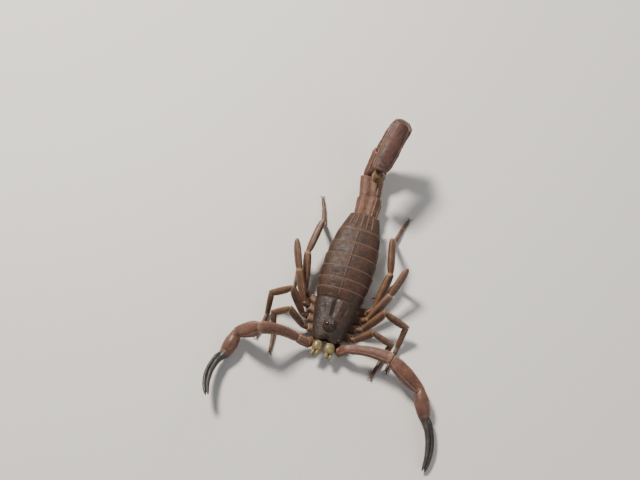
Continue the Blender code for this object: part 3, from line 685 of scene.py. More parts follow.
jaw_shell = make_jaw_shell()
eye_glass = speckled("eye_glass", 2500.0, 2.0, ((0.003, 0.003, 0.004), (0.03, 0.018, 0.012)), (0.03, 0.1),
                     Coat_Weight=0.8, Coat_Roughness=0.02, IOR=1.5)[0]
bristle_hair = speckled("bristle_hair", 1500.0, 2.0, ((0.1, 0.045, 0.02), (0.3, 0.17, 0.08)), (0.3, 0.5),
                        Specular_IOR_Level=0.6)[0]
floor_paper = make_floor_paper()


# Trunk

def trunk_section(turn, half_width, crest, side_line, underside, crest_power, under_power):
    """Cross-section of the trunk: a domed back over a flatter belly, as x and z."""
    lift = math.sin(turn)
    x = -half_width * math.cos(turn)
    if lift >= 0:
        return x, side_line + (crest - side_line) * lift ** crest_power
    return x, side_line - (side_line - underside) * (-lift) ** under_power


def eye_mound(x, y):
    """Height that the eye mound adds to the head shield."""
    reach = math.hypot(x * 1.15, y - EYE_MOUND_PLACE) / EYE_MOUND_REACH
    return EYE_MOUND_HEIGHT * max(0.0, math.cos(min(reach, 1.0) * math.pi / 2)) ** 0.8


def beads(place, spacing):
    """Rounded beads along a line, 0 between them and 1 on top."""
    return abs(math.sin(math.pi * place / spacing)) ** 0.7


def shield_relief(x, y):
    """Height and ridge mark of the keels, furrows and grains on the head shield."""
    furrow = blend(((0, 0.05), (2.0, 0.0), (4.6, 0.06), (6.4, 0.26), (8.6, 0.14)), y)
    height = -furrow * peak(x, 0.75)
    side_furrow = peak(abs(x) - 1.5 - 0.1 * y, 0.5) * peak(y - 6.2, 1.7)
    height -= 0.12 * side_furrow
    ridge = 0.0
    brow = peak(abs(x) - 0.42 - 0.16 * abs(y - EYE_MOUND_PLACE), 0.17)
    brow *= bump(1.5 - abs(y - EYE_MOUND_PLACE) / 0.95)
    ridge = max(ridge, brow * (0.75 + 0.25 * beads(y, 0.2)))
    height += 0.13 * brow
    rear_keel = peak(abs(x) - 0.72 - 0.11 * (y - 4.8), 0.16) * bump((y - 4.7) / 0.6)
    rear_keel *= bump((8.2 - y) / 0.5) * beads(y, 0.27)
    ridge = max(ridge, rear_keel)
    height += 0.1 * rear_keel
    coarse = granules(Vector((x, y, 0.0)), 0.34, 0.42)
    fine = granules(Vector((x, y, 5.0)), 0.19, 0.38)
    rough = 0.35 + 0.65 * bump(abs(x) / 2.6)
    grain = max(coarse * rough, fine * 0.5) * (1 - 0.8 * brow)
    height += 0.085 * grain
    return height, max(ridge, grain * 0.8)


def shield_surface(angle, share):
    """Surface of the head shield, with rounded rims and a notched front edge."""
    edge = min(share, 1 - share) / 0.035
    rounding = math.sqrt(max(0.0, 1 - (1 - min(edge, 1.0)) ** 2))
    half_width = blend(SHIELD_WIDTH_STOPS, share) - 0.28 * (1 - rounding)
    crest = blend(SHIELD_CREST_STOPS, share) - 0.3 * (1 - rounding)
    x, z = trunk_section(angle, half_width, crest, SHIELD_SIDE_LINE, SHIELD_UNDERSIDE, SHIELD_POWER, 0.25)
    y = share * SHIELD_LENGTH
    front = max(0.0, 1 - share * 6)
    notch = 0.55 * peak(x, 1.25) * front
    corner = 0.5 * bump((abs(x) - half_width * 0.72) / (half_width * 0.28)) * front
    y += notch + corner
    ridge = 0.0
    if math.sin(angle) > 0.05:
        top = bump(math.sin(angle) / 0.35)
        height, ridge = shield_relief(x, y)
        side_bead = beads(y, 0.24) * peak(math.sin(angle) - 0.12, 0.1)
        z += (eye_mound(x, y) + height * rounding) * top
        x += math.copysign(0.06 * side_bead, x)
        rim = peak(share - 0.015, 0.014) * beads(x, 0.24)
        z += 0.05 * rim
        ridge = max(ridge * top, side_bead, rim)
    return (x, y, z), ridge, 0.0


def make_shield():
    """The head shield as one closed skin."""
    form = new_form()
    roll(form, *SHIELD_GRID, shield_surface)
    finished("head_shield", form, head_shell, ["carapace"])


def shield_height(x, y):
    """Height of the head shield's top at a place, with its eye mound."""
    share = y / SHIELD_LENGTH
    lift = math.sqrt(max(0.0, 1 - (x / blend(SHIELD_WIDTH_STOPS, share)) ** 2))
    rise = blend(SHIELD_CREST_STOPS, share) - SHIELD_SIDE_LINE
    return SHIELD_SIDE_LINE + rise * lift ** SHIELD_POWER + eye_mound(x, y)


def dome(form, centre, axis, radius, flatness=1.0, around=20):
    """Add a smooth eye or knob round a centre, flattened along its axis."""
    ball = bmesh.ops.create_uvsphere(form, u_segments=around, v_segments=around // 2, radius=radius)
    turn = Vector((0, 0, 1)).rotation_difference(Vector(axis).normalized()).to_matrix()
    for vert in ball["verts"]:
        local = Vector((vert.co.x, vert.co.y, vert.co.z * flatness))
        vert.co = Vector(centre) + turn @ local


def make_eyes():
    """Two middle eyes on the mound, and three small eyes at each front corner."""
    for side, label in LABELS.items():
        form = new_form()
        x, y = EYE_SPREAD * side, EYE_MOUND_PLACE
        dome(form, (x, y, shield_height(x, y) + 0.06), (0.75 * side, -0.12, 0.66), EYE_RADIUS, 0.8, 28)
        finished("middle_eye_" + label, form, eye_glass, ["eye_median_" + label])
        form = new_form()
        for place, y, radius in CORNER_EYES:
            x = place * side
            dome(form, (x, y, shield_height(x, y) - 0.1), (0.8 * side, -0.4, 0.5), radius, 0.8, 16)
        finished("corner_eyes_" + label, form, eye_glass)


def trunk_ring(y):
    """Half width and crest of the back at a distance from the front."""
    borders = list(itertools.accumulate(TERGITE_LENGTHS, initial=SHIELD_LENGTH))
    wide = list(zip(borders, TERGITE_HALF_WIDTHS))
    high = list(zip(borders, TERGITE_CRESTS))
    return blend(wide, y), blend(high, y)


def make_soft_body():
    """Folded skin of the flanks, seen between back plates and belly plates."""
    start, end = SHIELD_LENGTH - 1.2, SHIELD_LENGTH + sum(TERGITE_LENGTHS) - 0.3

    def flank(angle, share):
        y = start + (end - start) * share
        half_width, crest = trunk_ring(max(y, SHIELD_LENGTH))
        closing = bump((1 - share) / 0.06)
        x, z = trunk_section(angle, (half_width - 0.15) * (0.97 + 0.03 * closing), crest - 0.75,
                             SIDE_LINE - 0.15, 1.75, 0.75, 0.4)
        side = peak(math.sin(angle), 0.7)
        fold = math.sin(y * 7.5 + 1.2 * math.sin(z * 3)) + 0.6 * math.sin(z * 11 + y * 0.8)
        fold += 1.4 * noise.noise(Vector((x * 0.8, y * 1.6, z * 1.6)))
        puff = 0.13 * math.sin(math.pi * ((y - SHIELD_LENGTH) * 0.37 % 1.0))
        x += math.copysign((0.045 * fold + puff) * side, x)
        return (x, y, z), 0.35 + 0.25 * fold * side, 0.0

    form = new_form()
    roll(form, *FLANK_GRID, flank)
    finished("flank_skin", form, side_skin)


def make_back_plate(index, start, length):
    """One back plate with its raised rear edge, rows of beads and keels."""
    is_last = index == len(TERGITE_LENGTHS) - 1
    keels = (0.0, 1.25, 2.45) if is_last else (0.0,)
    reach = length + PLATE_TUCK + (0.05 if is_last else 0.3)

    def plate(across, share):
        run = reach * share - PLATE_TUCK
        place = run / length
        y = start + run
        half_width, crest = trunk_ring(y)
        rise = blend(((-0.3, -0.62), (0, -0.42), (0.16, -0.3), (0.7, -0.06), (1, 0.03), (1.15, 0.02)), place)
        angle = math.radians(4 + 172 * across)
        x, z = trunk_section(angle, half_width + 0.1 + rise * 0.5, crest + rise, SIDE_LINE - 0.1, BELLY,
                             0.75, 0.45)
        top = bump(math.sin(angle) / 0.4)
        body = bump((place - 0.1) / 0.3)
        ridge = 0.0
        for keel in keels:
            away = abs(abs(x) - keel * (1 - 0.22 * max(place, 0.0) * is_last))
            line = bump(1 - away / 0.2) * body * bump((1.02 - place) / 0.1)
            line *= 0.45 + 0.55 * beads(y, 0.3)
            z += 0.17 * line * (0.75 if keel == 0.0 and is_last else 1.0)
            ridge = max(ridge, line)
        rear = run - length - (0.0 if is_last else 0.22)
        rear_row = peak(rear, 0.13) * beads(x + 0.12, 0.25)
        step_row = peak(place - 0.14, 0.05) * beads(x, 0.22) * 0.7
        grain = granules(Vector((x, y, 3.0 * index)), 0.31, 0.42) * (0.25 + 0.75 * bump(place)) * body
        fine = granules(Vector((x, y, 7.0 * index + 2)), 0.17, 0.38) * 0.4
        hollow = 0.05 * bump(1 - math.hypot(abs(x) - 1.75, (place - 0.45) * length * 1.6) / 0.8)
        grain = max(grain, fine) * (1 - 0.7 * min(1.0, hollow * 20))
        z += (0.075 * grain + 0.08 * rear_row + 0.04 * step_row - hollow) * (0.3 + 0.7 * top)
        x += math.copysign(0.03 * grain * (1 - top), x)
        rim = 0.8 * bump((rear + 0.16) / 0.14)
        return (x, y, z), max(ridge, 0.8 * grain, rear_row, step_row), rim

    form = new_form()
    rows = max(PLATE_GRID[1], int((length + PLATE_TUCK) * PLATE_ROWS_PER_MM))
    sheet_skin(form, PLATE_GRID[0], rows, plate, PLATE_THICKNESS)
    finished("back_plate_%d" % (index + 1), form, back_shell, ["mesosoma_%d" % (index + 1)])


def make_belly_plate(index, start, length):
    """One smooth belly plate, with a breathing slit on each side."""
    is_last = index == len(TERGITE_LENGTHS) - 1

    def plate(across, share):
        place = -0.08 + 1.16 * share
        y = start + length * place
        half_width, _ = trunk_ring(y)
        angle = math.radians(200 + 140 * across)
        drop = 0.05 * bump((place - 0.3) / 0.7)
        floor = BELLY + 0.02 - (BELLY - BELLY_REAR) * max(0.0, place) * is_last
        x, z = trunk_section(angle, half_width + 0.04, 5.0, SIDE_LINE - 0.3 * is_last * place,
                             floor - drop, 0.75, 0.45)
        aside = abs(x) - half_width * 0.62
        slit = bump(1 - math.hypot(aside / 0.5, ((place - 0.5) * length - 0.3 * aside) / 0.14))
        slit *= not is_last
        z += 0.1 * slit
        keel = peak(abs(x) - 1.2, 0.16) * is_last
        z -= 0.06 * keel
        return (x, y, z), keel, slit

    form = new_form()
    sheet_skin(form, *BELLY_PLATE_GRID, plate, BELLY_PLATE_THICKNESS)
    finished("belly_plate_%d" % (index + 1), form, belly_shell)


def make_trunk():
    """Flank skin, seven back plates and five belly plates."""
    make_soft_body()
    start = SHIELD_LENGTH
    for index, length in enumerate(TERGITE_LENGTHS):
        make_back_plate(index, start, length)
        if index > 1:
            make_belly_plate(index, start, length)
        start += length


# Jaws

def make_jaws():
    """Two short jaws under the front edge, each with a fixed and a moving toothed finger."""
    for side, label in LABELS.items():
        y, z = JAW_ROOT
        root = Vector((JAW_X * side, y, z))
        end = root + Vector((0.08 * side, -JAW_LENGTH, -0.15))

        def hand(step, share, angle):
            size = blend(((0, 0.8), (0.3, 1.0), (0.75, 1.0), (0.93, 0.8), (1, 0.5)), share)
            across = JAW_HALF_WIDTH * size * squared(math.sin(angle), 0.85)
            above = JAW_HALF_HEIGHT * size * squared(math.cos(angle), 0.85)
            dent = 1 + 0.03 * noise.noise(Vector((across * 2, share * 4, above * 2)))
            return across * dent, above * dent, 0.95 - 0.45 * bump(share), 0.0

        form = new_form()
        palm = Limb((root, end))
        limb_skin(form, palm, (0, 0), (40,), 40, hand, (0.3, 0.0), (False, False))
        plant(palm, 0, hand, 30, 0.5, 0.3, 0.98, 1.2)
        for offset, drop, reach, teeth in JAW_FINGERS:
            start = end + Vector((offset * side, 0.6, drop))
            bend = start + Vector((0.16 * side, -0.6 - reach * 0.55, -0.15))
            tip = bend + Vector(((0.08 - offset * 0.7) * side, -reach * 0.35, -0.5))

            def finger(step, share, angle):
                whole = step + share
                size = blend(((0, 0.4), (1, 0.34), (1.6, 0.2), (2, 0.03)), whole)
                tip_mark = bump((whole - 1.0) / 0.6) * 0.9
                return size * 0.9 * math.sin(angle), size * math.cos(angle), 0.0, tip_mark

            prong(form, (start, bend, tip), 12, 20, finger)
            inside = -math.copysign(1, offset) * side
            for tooth in range(teeth):
                place = start.lerp(bend, 0.45 + 0.15 * tooth) + Vector((0.2 * inside, 0, -0.1))
                peg_tip = place + Vector((0.25 * inside, -0.1, -0.05))
                prong(form, (place, peg_tip), 3, 8,
                      lambda step, share, angle: disc(0.12 * (1 - 0.85 * share), angle, 0.85))
        finished("jaw_" + label, form, jaw_shell, ["chelicera_" + label])


# Limbs

def leg_points(side, row):
    """Joint points of one leg, from its base under the body to its foot."""
    base = mirrored((*LEG_BASES[row], BASE_MIDDLE), side)
    hip = mirrored((*HIPS[row], HIP_HEIGHT), side)
    lengths, poses = LEG_LENGTHS[row], LEG_POSES[LABELS[side]][row]
    height = hip[2] + sum(length * math.sin(math.radians(pitch))
                          for length, (_, pitch) in zip(lengths, poses) if pitch is not None)
    tibia = poses.index(next(pose for pose in poses if pose[1] is None))
    landing = math.degrees(math.asin((FOOT_HEIGHT - height) / lengths[tibia]))
    steps = [(length, heading, landing if pitch is None else pitch)
             for length, (heading, pitch) in zip(lengths, poses)]
    return [Vector(base)] + walk(hip, steps)


def arm_points(side):
    """Joint points of one arm, from its base to the fingertips."""
    label = LABELS[side]
    points = [Vector(mirrored(ARM_BASE, side))] + walk(mirrored(ARM_ROOT, side), ARM_STEPS[label])
    start, end, pitch = FINGER_TURN[label]
    parts = [(FINGER_LENGTH / FINGER_PARTS, start + (end - start) * (part + 0.5) / FINGER_PARTS,
              pitch) for part in range(FINGER_PARTS)]
    return points + walk(points[-1], parts)[1:]


def keel_line(angle, keels, width):
    """How much a place on a section lies on one of its keels, given in degrees."""
    line = 0.0
    for place in keels:
        away = apart(angle, math.radians(place))
        if away < width:
            line = max(line, bump(1 - away / width))
    return line


def keeled(size, angle, squareness, keels, keel, run, grain, seed=0.0, spacing=0.25):
    """Oval section with beaded keels and grains; size and keel are pairs, run is the way along it."""
    across = size[0] * squared(math.sin(angle), squareness)
    above = size[1] * squared(math.cos(angle), squareness)
    reach = max(0.05, math.hypot(across, above))
    line = keel_line(angle, keels, keel[1] / reach)
    if line:
        wander = noise.noise(Vector((run * 1.1, angle * 2.0, seed)))
        line *= min(1.0, (0.3 + 0.7 * beads(run + 0.15 * wander, 0.27)) * (0.85 + 0.6 * wander))
    scattered = granules(Vector((across + seed, run, above)), spacing, 0.46) if grain else 0.0
    grown = 1 + (keel[0] * line + grain * scattered * (1 - line)) / reach
    return across * grown, above * grown, max(line, 0.65 * scattered)


TROCHANTER_SIZE = ((0, 0.84), (0.3, 1.0), (0.75, 1.02), (1, 0.9))
FEMUR_SIZE = ((0, 0.62), (0.1, 0.75), (0.3, 0.81), (0.5, 0.86), (0.85, 1.05), (0.95, 1.01), (1, 0.88))
PATELLA_SIZE = ((0, 0.58), (0.1, 0.76), (0.28, 1.02), (0.6, 1.02), (0.9, 0.82), (1, 0.68))
FEMUR_KEELS = (45, 92, 135, 225, 315)
PATELLA_KEELS = (46, 100, 138, 222, 314)


def arm_part(part, side, sizes, squareness, keels, limb_length, bow=(0.0, 0.0)):
    """Section of one arm joint, rolled toward the front, with pale patches at both ends."""
    def section(step, share, angle):
        size = blend(sizes, share)
        run = share * limb_length
        strength = 0.13 * min(1.0, 7 * share, 7 - 7 * share)
        across, above, ridge = keeled((ARM_HALF_WIDTHS[part] * size, ARM_HALF_HEIGHTS[part] * size),
                                      side * angle, squareness, keels, (strength, 0.2), run,
                                      0.05 if 0.02 < share < 0.98 else 0.0, 11.0 * side)
        forward = across * math.cos(ARM_ROLL) + above * math.sin(ARM_ROLL)
        upward = above * math.cos(ARM_ROLL) - across * math.sin(ARM_ROLL)
        place = Vector((forward, run, upward + 9.0 * side))
        dent = 1 + 0.05 * noise.noise(place * 0.7) * min(1.0, 5 * share, 5 - 5 * share)
        joint = near_ends(share, 0.1, 0.11)
        joint *= bump(0.42 + 0.9 * noise.noise(place * 1.9) + 0.35 * forward)
        arch = math.sin(math.pi * share)
        return side * (forward * dent - bow[0] * arch), upward * dent + bow[1] * arch, ridge, joint * 0.85
    return section


def finger_oval(whole, angle):
    """Section of one finger at a share of its length, with fine lines along it."""
    size = blend(((0, 0.66), (0.3, 0.52), (0.7, 0.43), (0.92, 0.29), (0.98, 0.14), (1, 0.05)), whole)
    groove = 1 - 0.035 * max(0.0, math.cos(3 * angle)) * bump((1 - whole) / 0.3)
    return size * 0.86 * math.sin(angle) * groove, size * math.cos(angle) * groove


def finger_bow(side, share):
    """How far a finger's smooth curve lies outside each of its straight parts."""
    start, end, _ = FINGER_TURN[LABELS[side]]
    turn = math.radians(end - start) / FINGER_PARTS
    return -turn * FINGER_LENGTH / FINGER_PARTS / 2 * share * (1 - share)


def finger_teeth(whole, angle, facing):
    """Height of the oblique rows of small teeth on the edge that faces the other finger."""
    away = apart(angle, facing)
    run = whole * FINGER_LENGTH
    row = 0.5 + 0.5 * beads(run, 1.15)
    ends = bump((0.97 - whole) / 0.05) * bump(whole / 0.1)
    return 0.085 * bump(1 - away / 0.4) * beads(run, 0.17) * row * ends


def hand_section(side):
    """Hand that narrows on its outer side into the fixed finger."""
    def section(step, share, angle):
        if step == HAND:
            width = blend(((0, 0.5), (0.13, 0.7), (0.5, 1.0), (0.8, 0.97), (1, 0.86)), share)
            height = blend(((0, 0.56), (0.13, 0.76), (0.5, 1.0), (0.8, 0.95), (1, 0.8)), share)
            size = (ARM_HALF_WIDTHS["hand"] * width, ARM_HALF_HEIGHTS["hand"] * height)
            across, above, ridge = keeled(size, angle, 1.0, (), (0.0, 0.3), share * HAND_LENGTH, 0.01)
            dent = 1 + 0.04 * noise.noise(Vector((across * 0.7, share * 3, above * 0.7)))
            return across * dent - 0.04 * side, above * dent, ridge * 0.4, 0.0
        whole = (step - FIRST_FINGER + share) / FINGER_PARTS
        across, above = finger_oval(whole, angle)
        across -= finger_teeth(whole, angle, -side * math.pi / 2) * side
        shoulder = bump(1 - whole / 0.14)
        width = ARM_HALF_WIDTHS["hand"] * 0.86
        inner = FINGER_APART * (1 - max(0.0, whole - 0.55) * 1.3) * side
        grown_across = across * (1 - shoulder) + width * math.sin(angle) * shoulder
        grown_above = above * (1 - shoulder) + ARM_HALF_HEIGHTS["hand"] * 0.8 * math.cos(angle) * shoulder
        dark = bump((whole - 0.01) / 0.09)
        bow = finger_bow(side, share)
        return (grown_across + inner * (1 - shoulder) - 0.04 * side * shoulder + bow, grown_above,
                0.3 * granules(Vector((across, whole * FINGER_LENGTH, above)), 0.2) * dark, dark)
    return section


bristle_spots = []


def plant(limb, step, section, count, length, low=0.1, high=0.95, lean=0.6):
    """Choose random places for bristles on one length of a limb."""
    for _ in range(count):
        share, angle = rng.uniform(low, high), rng.uniform(0, math.tau)
        across, above = section(step, share, angle)[:2]
        root = limb.spot(step, share, across * 0.97, above * 0.97)
        outward = (limb.spot(step, share, across * 1.4, above * 1.4) - root).normalized()
        way = (outward + limb.ways[step] * lean).normalized()
        bristle_spots.append((root, way, length * rng.uniform(0.6, 1.25)))


def joint_knobs(limb, joints):
    """Place, way and radius of the soft knob in each joint of a limb, from (joint, radius) pairs."""
    return [(limb.points[joint], limb.planes[joint], radius) for joint, radius in joints]


def make_joint_skin(name, knobs, finish=joint_skin, crease=0.02):
    """Soft skin that fills the joints of one limb in creases; knobs are (place, way, radius)."""
    form = new_form()
    for centre, way, radius in knobs:
        start = len(form.verts)
        dome(form, centre, way, radius, 1.25, 40)
        form.verts.ensure_lookup_table()
        for vert in form.verts[start:]:
            offset = vert.co - centre
            fold = noise.noise(Vector((offset.dot(way) * 4.5, radius, 0.0)) + vert.co * 0.5)
            vert.co += offset * (crease * fold)
    finished(name, form, finish)


def make_arm(side, label):
    """Trochanter, femur, patella, hand with its fixed finger, and the moving finger."""
    points = arm_points(side)
    limb = Limb(points)
    node = "pedipalp_" + label + "_"
    name = "arm_" + label + "_"
    trochanter = arm_part("trochanter", side, TROCHANTER_SIZE, 1.0, FEMUR_KEELS, limb.length(TROCHANTER))
    femur = arm_part("femur", side, FEMUR_SIZE, 0.85, FEMUR_KEELS, limb.length(FEMUR), FEMUR_BOW)
    patella = arm_part("patella", side, PATELLA_SIZE, 0.88, PATELLA_KEELS, limb.length(PATELLA))
    hand = hand_section(side)
    for part, step, section, rings in (("trochanter", TROCHANTER, trochanter, 44),
                                       ("femur", FEMUR, femur, 120), ("patella", PATELLA, patella, 120)):
        form = new_form()
        limb_skin(form, limb, (step, step), (rings,), ARM_AROUND, section, (0.18, 0.04))
        finished(name + part, form, arm_shell, [node + part])
    form = new_form()
    last = HAND + FINGER_PARTS
    limb_skin(form, limb, (HAND, last), (64, 36, 34, 34, 34), HAND_AROUND, hand, (0.16, 0.0), (True, False))
    finished(name + "hand", form, hand_shell, [node + "hand"])

    moving = Limb(points[FIRST_FINGER:])
    slant = moving.ways[0].cross(moving.ups[0]) * side * -1.0
    moving.planes[0] = (moving.ways[0] + slant).normalized()
    moving.points[0] = moving.points[0] + moving.ways[0] * 1.2

    def finger(step, share, angle):
        whole = (step + share) / FINGER_PARTS
        across, above = finger_oval(whole, angle)
        across += finger_teeth(whole, angle, side * math.pi / 2) * side
        thin = 0.75 + 0.25 * bump(whole / 0.12)
        outer = -FINGER_APART * (1 - max(0.0, whole - 0.55) * 0.7) * side
        grain = 0.3 * granules(Vector((across, whole * FINGER_LENGTH, above)), 0.2)
        bow = finger_bow(side, share)
        return across * thin + outer + bow, above * thin, grain, 0.6 * bump(1 - whole / 0.07)

    form = new_form()
    limb_skin(form, moving, (0, FINGER_PARTS - 1), (FINGER_RINGS,) * FINGER_PARTS, FINGER_AROUND, finger,
              folds=(False, False))
    finished(name + "finger", form, finger_horn, [node + "finger"])
    knobs = joint_knobs(limb, ((TROCHANTER, 0.68), (FEMUR, 0.6), (PATELLA, 0.78), (HAND, 0.7)))
    knobs.append((moving.spot(0, 0.02, -0.5 * side, 0), moving.ways[0], 0.42))
    make_joint_skin(name + "joint_skin", knobs)
    plant(limb, FEMUR, femur, 26, 0.5)
    plant(limb, PATELLA, patella, 34, 0.55)
    plant(limb, HAND, hand, 30, 0.6)
    for part in range(FINGER_PARTS):
        plant(limb, FIRST_FINGER + part, hand, 16, 0.5, 0.02, 0.98, 0.9)
        plant(moving, part, finger, 14, 0.5, 0.02, 0.9, 0.9)


LEG_SIZES = {
    "trochanter": ((0, 0.72), (0.3, 0.84), (1, 0.8)),
    "femur": ((0, 0.66), (0.12, 0.86), (0.5, 1.06), (0.85, 1.02), (1, 0.86)),
    "patella": ((0, 0.6), (0.2, 0.88), (0.6, 0.96), (0.88, 0.9), (1, 0.76)),
    "tibia": ((0, 0.5), (0.15, 0.62), (0.8, 0.55), (1, 0.5)),
    "metatarsus": ((0, 0.36), (0.12, 0.44), (0.85, 0.42), (1, 0.4)),
    "tarsus": ((0, 0.3), (0.15, 0.38), (0.8, 0.34), (1, 0.26)),
}
LEG_NODES = {"trochanter": "femur", "femur": "femur", "patella": "patella", "tibia": "foot",
             "metatarsus": "foot", "tarsus": "foot"}


def leg_part(part, scale, length):
    """Section of one leg joint, flattened where it is close to the body and round at the foot."""
    is_upper = LEG_NODES[part] != "foot"
    grown = scale if is_upper else 0.7 + 0.3 * scale
    flat = 0.7 if is_upper else 0.92

    def section(step, share, angle):
        size = blend(LEG_SIZES[part], share) * grown
        high = 0.86 if is_upper else 1.0
        across, above, ridge = keeled((flat * size, high * size), angle, 0.9 if is_upper else 1.0,
                                      (0, 180) if is_upper else (), (0.07, 0.16), share * length,
                                      0.018 if is_upper else 0.008)
        joint = near_ends(share, 0.09, 0.07)
        return across, above, ridge, joint * 0.9
    return section


def horn(form, points, radii, around=10, rings=7):
    """Add a curved horn through a few points, as for claws and spurs."""
    def section(step, share, angle):
        size = radii[step] + (radii[step + 1] - radii[step]) * share
        return disc(size, angle, bump(1 - (step + share) / 0.5))

    prong(form, points, rings, around, section)


def turned(way, degrees):
    """A direction turned round the upright axis."""
    turn = math.radians(degrees)
    return Vector((way.x * math.cos(turn) - way.y * math.sin(turn),
                   way.x * math.sin(turn) + way.y * math.cos(turn), way.z))


def make_leg(side, label, row):
    """Six joints of one leg, its joint skin, and its claws and spurs."""
    limb = Limb(leg_points(side, row))
    scale = LEG_SCALES[row]
    name = "leg_%s_%d_" % (label, row + 1)
    for step, part in enumerate(LEG_SIZES, 1):
        section = leg_part(part, scale, limb.length(step))
        form = new_form()
        rings = max(16, int(limb.length(step) * LEG_ROWS_PER_MM))
        limb_skin(form, limb, (step, step), (rings,), LEG_AROUND, section, (0.1, 0.03),
                  (True, part != "tarsus"))
        finish = foot_shell if LEG_NODES[part] == "foot" else leg_shell
        finished(name + part, form, finish, [name + LEG_NODES[part]])
        bristles = 8 if LEG_NODES[part] != "foot" else 14
        plant(limb, step, section, bristles, 0.42 if part != "tarsus" else 0.32)
    small = 0.7 + 0.3 * scale
    sizes = (0.6 * scale, 0.56 * scale, 0.5 * scale, 0.42 * small, 0.34 * small, 0.27 * small)
    make_joint_skin(name + "joint_skin", joint_knobs(limb, enumerate(sizes, 1)))
    form = new_form()
    way = limb.ways[-1]
    root = limb.points[-1] - way * 0.2
    for splay in (-CLAW_SPLAY, CLAW_SPLAY):
        ahead = turned(Vector((way.x, way.y, 0)).normalized(), splay)
        knuckle = root + ahead * 0.4 + Vector((0, 0, 0.12))
        horn(form, (root, knuckle, root + ahead * 0.85 + Vector((0, 0, 0.02)),
                    root + ahead * 1.12 + Vector((0, 0, -0.22))), (0.14, 0.12, 0.075, 0.012))
    horn(form, (root, root + way * 0.42 - Vector((0, 0, 0.14))), (0.1, 0.03))
    heel, heel_way = limb.points[6], limb.ways[5]
    for splay in (-HEEL_SPUR_SPLAY, HEEL_SPUR_SPLAY):
        ahead = turned(heel_way, splay)
        start = heel - heel_way * 0.12 + ahead * 0.1
        horn(form, (start, start + ahead * 0.34 - Vector((0, 0, 0.06))), (0.085, 0.015), rings=4)
    if row > 1:
        ankle, ankle_way = limb.points[5], limb.ways[4]
        aside = turned(ankle_way, ANKLE_SPUR_TURN * side)
        start = ankle - ankle_way * 0.25 + aside * 0.15
        horn(form, (start, start + (ankle_way + aside) * 0.4), (0.1, 0.015), rings=5)
    finished(name + "claws", form, claw_horn)


# Underside

def base_part(wide, high, squareness, keel, length, grain, reach):
    """Section of the base of a leg or an arm, pale at its outer end."""
    def section(step, share, angle):
        size = (blend(wide, share), blend(high, share))
        across, above, ridge = keeled(size, angle, squareness, (90, 270), (keel, 0.2), share * length, grain)
        return across, above, ridge, 0.8 * bump(1 - (1 - share) / reach)
    return section


def make_underside():
    """Leg and arm bases and the breast plate."""
    for side, label in LABELS.items():
        form = new_form()
        for row in range(4):
            limb = Limb(leg_points(side, row))
            base = base_part(((0, 0.6), (0.5, 0.95), (1, 0.84)), ((0, 0.6),), 0.85, 0.04, limb.length(0),
                             0.012, 0.1)
            limb_skin(form, limb, (0, 0), (44,), 52, base, (0.0, 0.05), (False, True))
        base = base_part(((0, 0.6), (0.6, 0.92), (1, 0.9)), ((0, 0.5), (1, 0.78)), 0.9, 0.05, 3, 0.02, 0.08)
        limb_skin(form, Limb(arm_points(side)), (0, 0), (48,), 60, base, (0.0, 0.05), (False, True))
        finished("limb_bases_" + label, form, leg_shell)

    def breast(angle, share):
        half_width = blend(((0, 0.3), (0.1, 0.9), (0.3, 1.9), (0.7, 2.6), (0.9, 1.9), (1, 0.6)), share)
        across, above = half_width * squared(math.sin(angle), 0.7), 0.5 * squared(math.cos(angle), 0.7)
        return (across, 1.6 + 9.3 * share, BASE_MIDDLE + above), 0.0, 0.0

    form = new_form()
    roll(form, 60, 70, breast)
    finished("breast_plate", form, belly_shell, ["coxosternum"])


def make_combs():
    """A comb on each side of the belly: jointed back, beads and a row of teeth."""
    for side, label in LABELS.items():
        steps = [(length, heading * side, pitch) for length, heading, pitch in COMB_STEPS]
        spine = Limb(walk(mirrored(COMB_ROOT, side), steps))
        count = len(COMB_STEPS)

        def back_bar(step, share, angle):
            whole = (step + share) / count
            size = blend(((0, 0.46), (0.15, 0.56), (1, 0.3)), whole)
            cut = 1 - 0.12 * peak(share - 0.5, 0.06)
            across = size * cut * squared(math.sin(angle), 0.8)
            return across, 0.27 * cut * squared(math.cos(angle), 0.8), 0.0, 0.0

        form = new_form()
        limb_skin(form, spine, (0, count - 1), (20,) * count, 30, back_bar, folds=(False, False))
        for index in range(COMB_TEETH):
            place = (index + 0.7) / (COMB_TEETH + 0.2) * count
            step = min(int(place), count - 1)
            root = spine.spot(step, place - step, 0, 0)
            back = Vector((-spine.ways[step].y * side, spine.ways[step].x * side, 0))
            way = (back + spine.ways[step] * 0.3).normalized()
            reach = 1.25 - 0.3 * abs(index / COMB_TEETH - 0.4)

            def tooth(step, share, angle):
                size = blend(((0, 0.1), (0.35, 0.125), (0.8, 0.14), (0.95, 0.1), (1, 0.03)), share)
                return size * math.sin(angle), size * 1.2 * math.cos(angle), 0.0, 0.0

            prong(form, (root + way * 0.3, root + way * reach), 9, 10, tooth)
            bead = root + way * 0.52 + spine.ways[step] * 0.12
            dome(form, (bead.x, bead.y, bead.z - 0.12), (0, 0, -1), 0.13, 0.8, 8)
        finished("comb_" + label, form, comb_shell, ["pectine_" + label])


# Tail

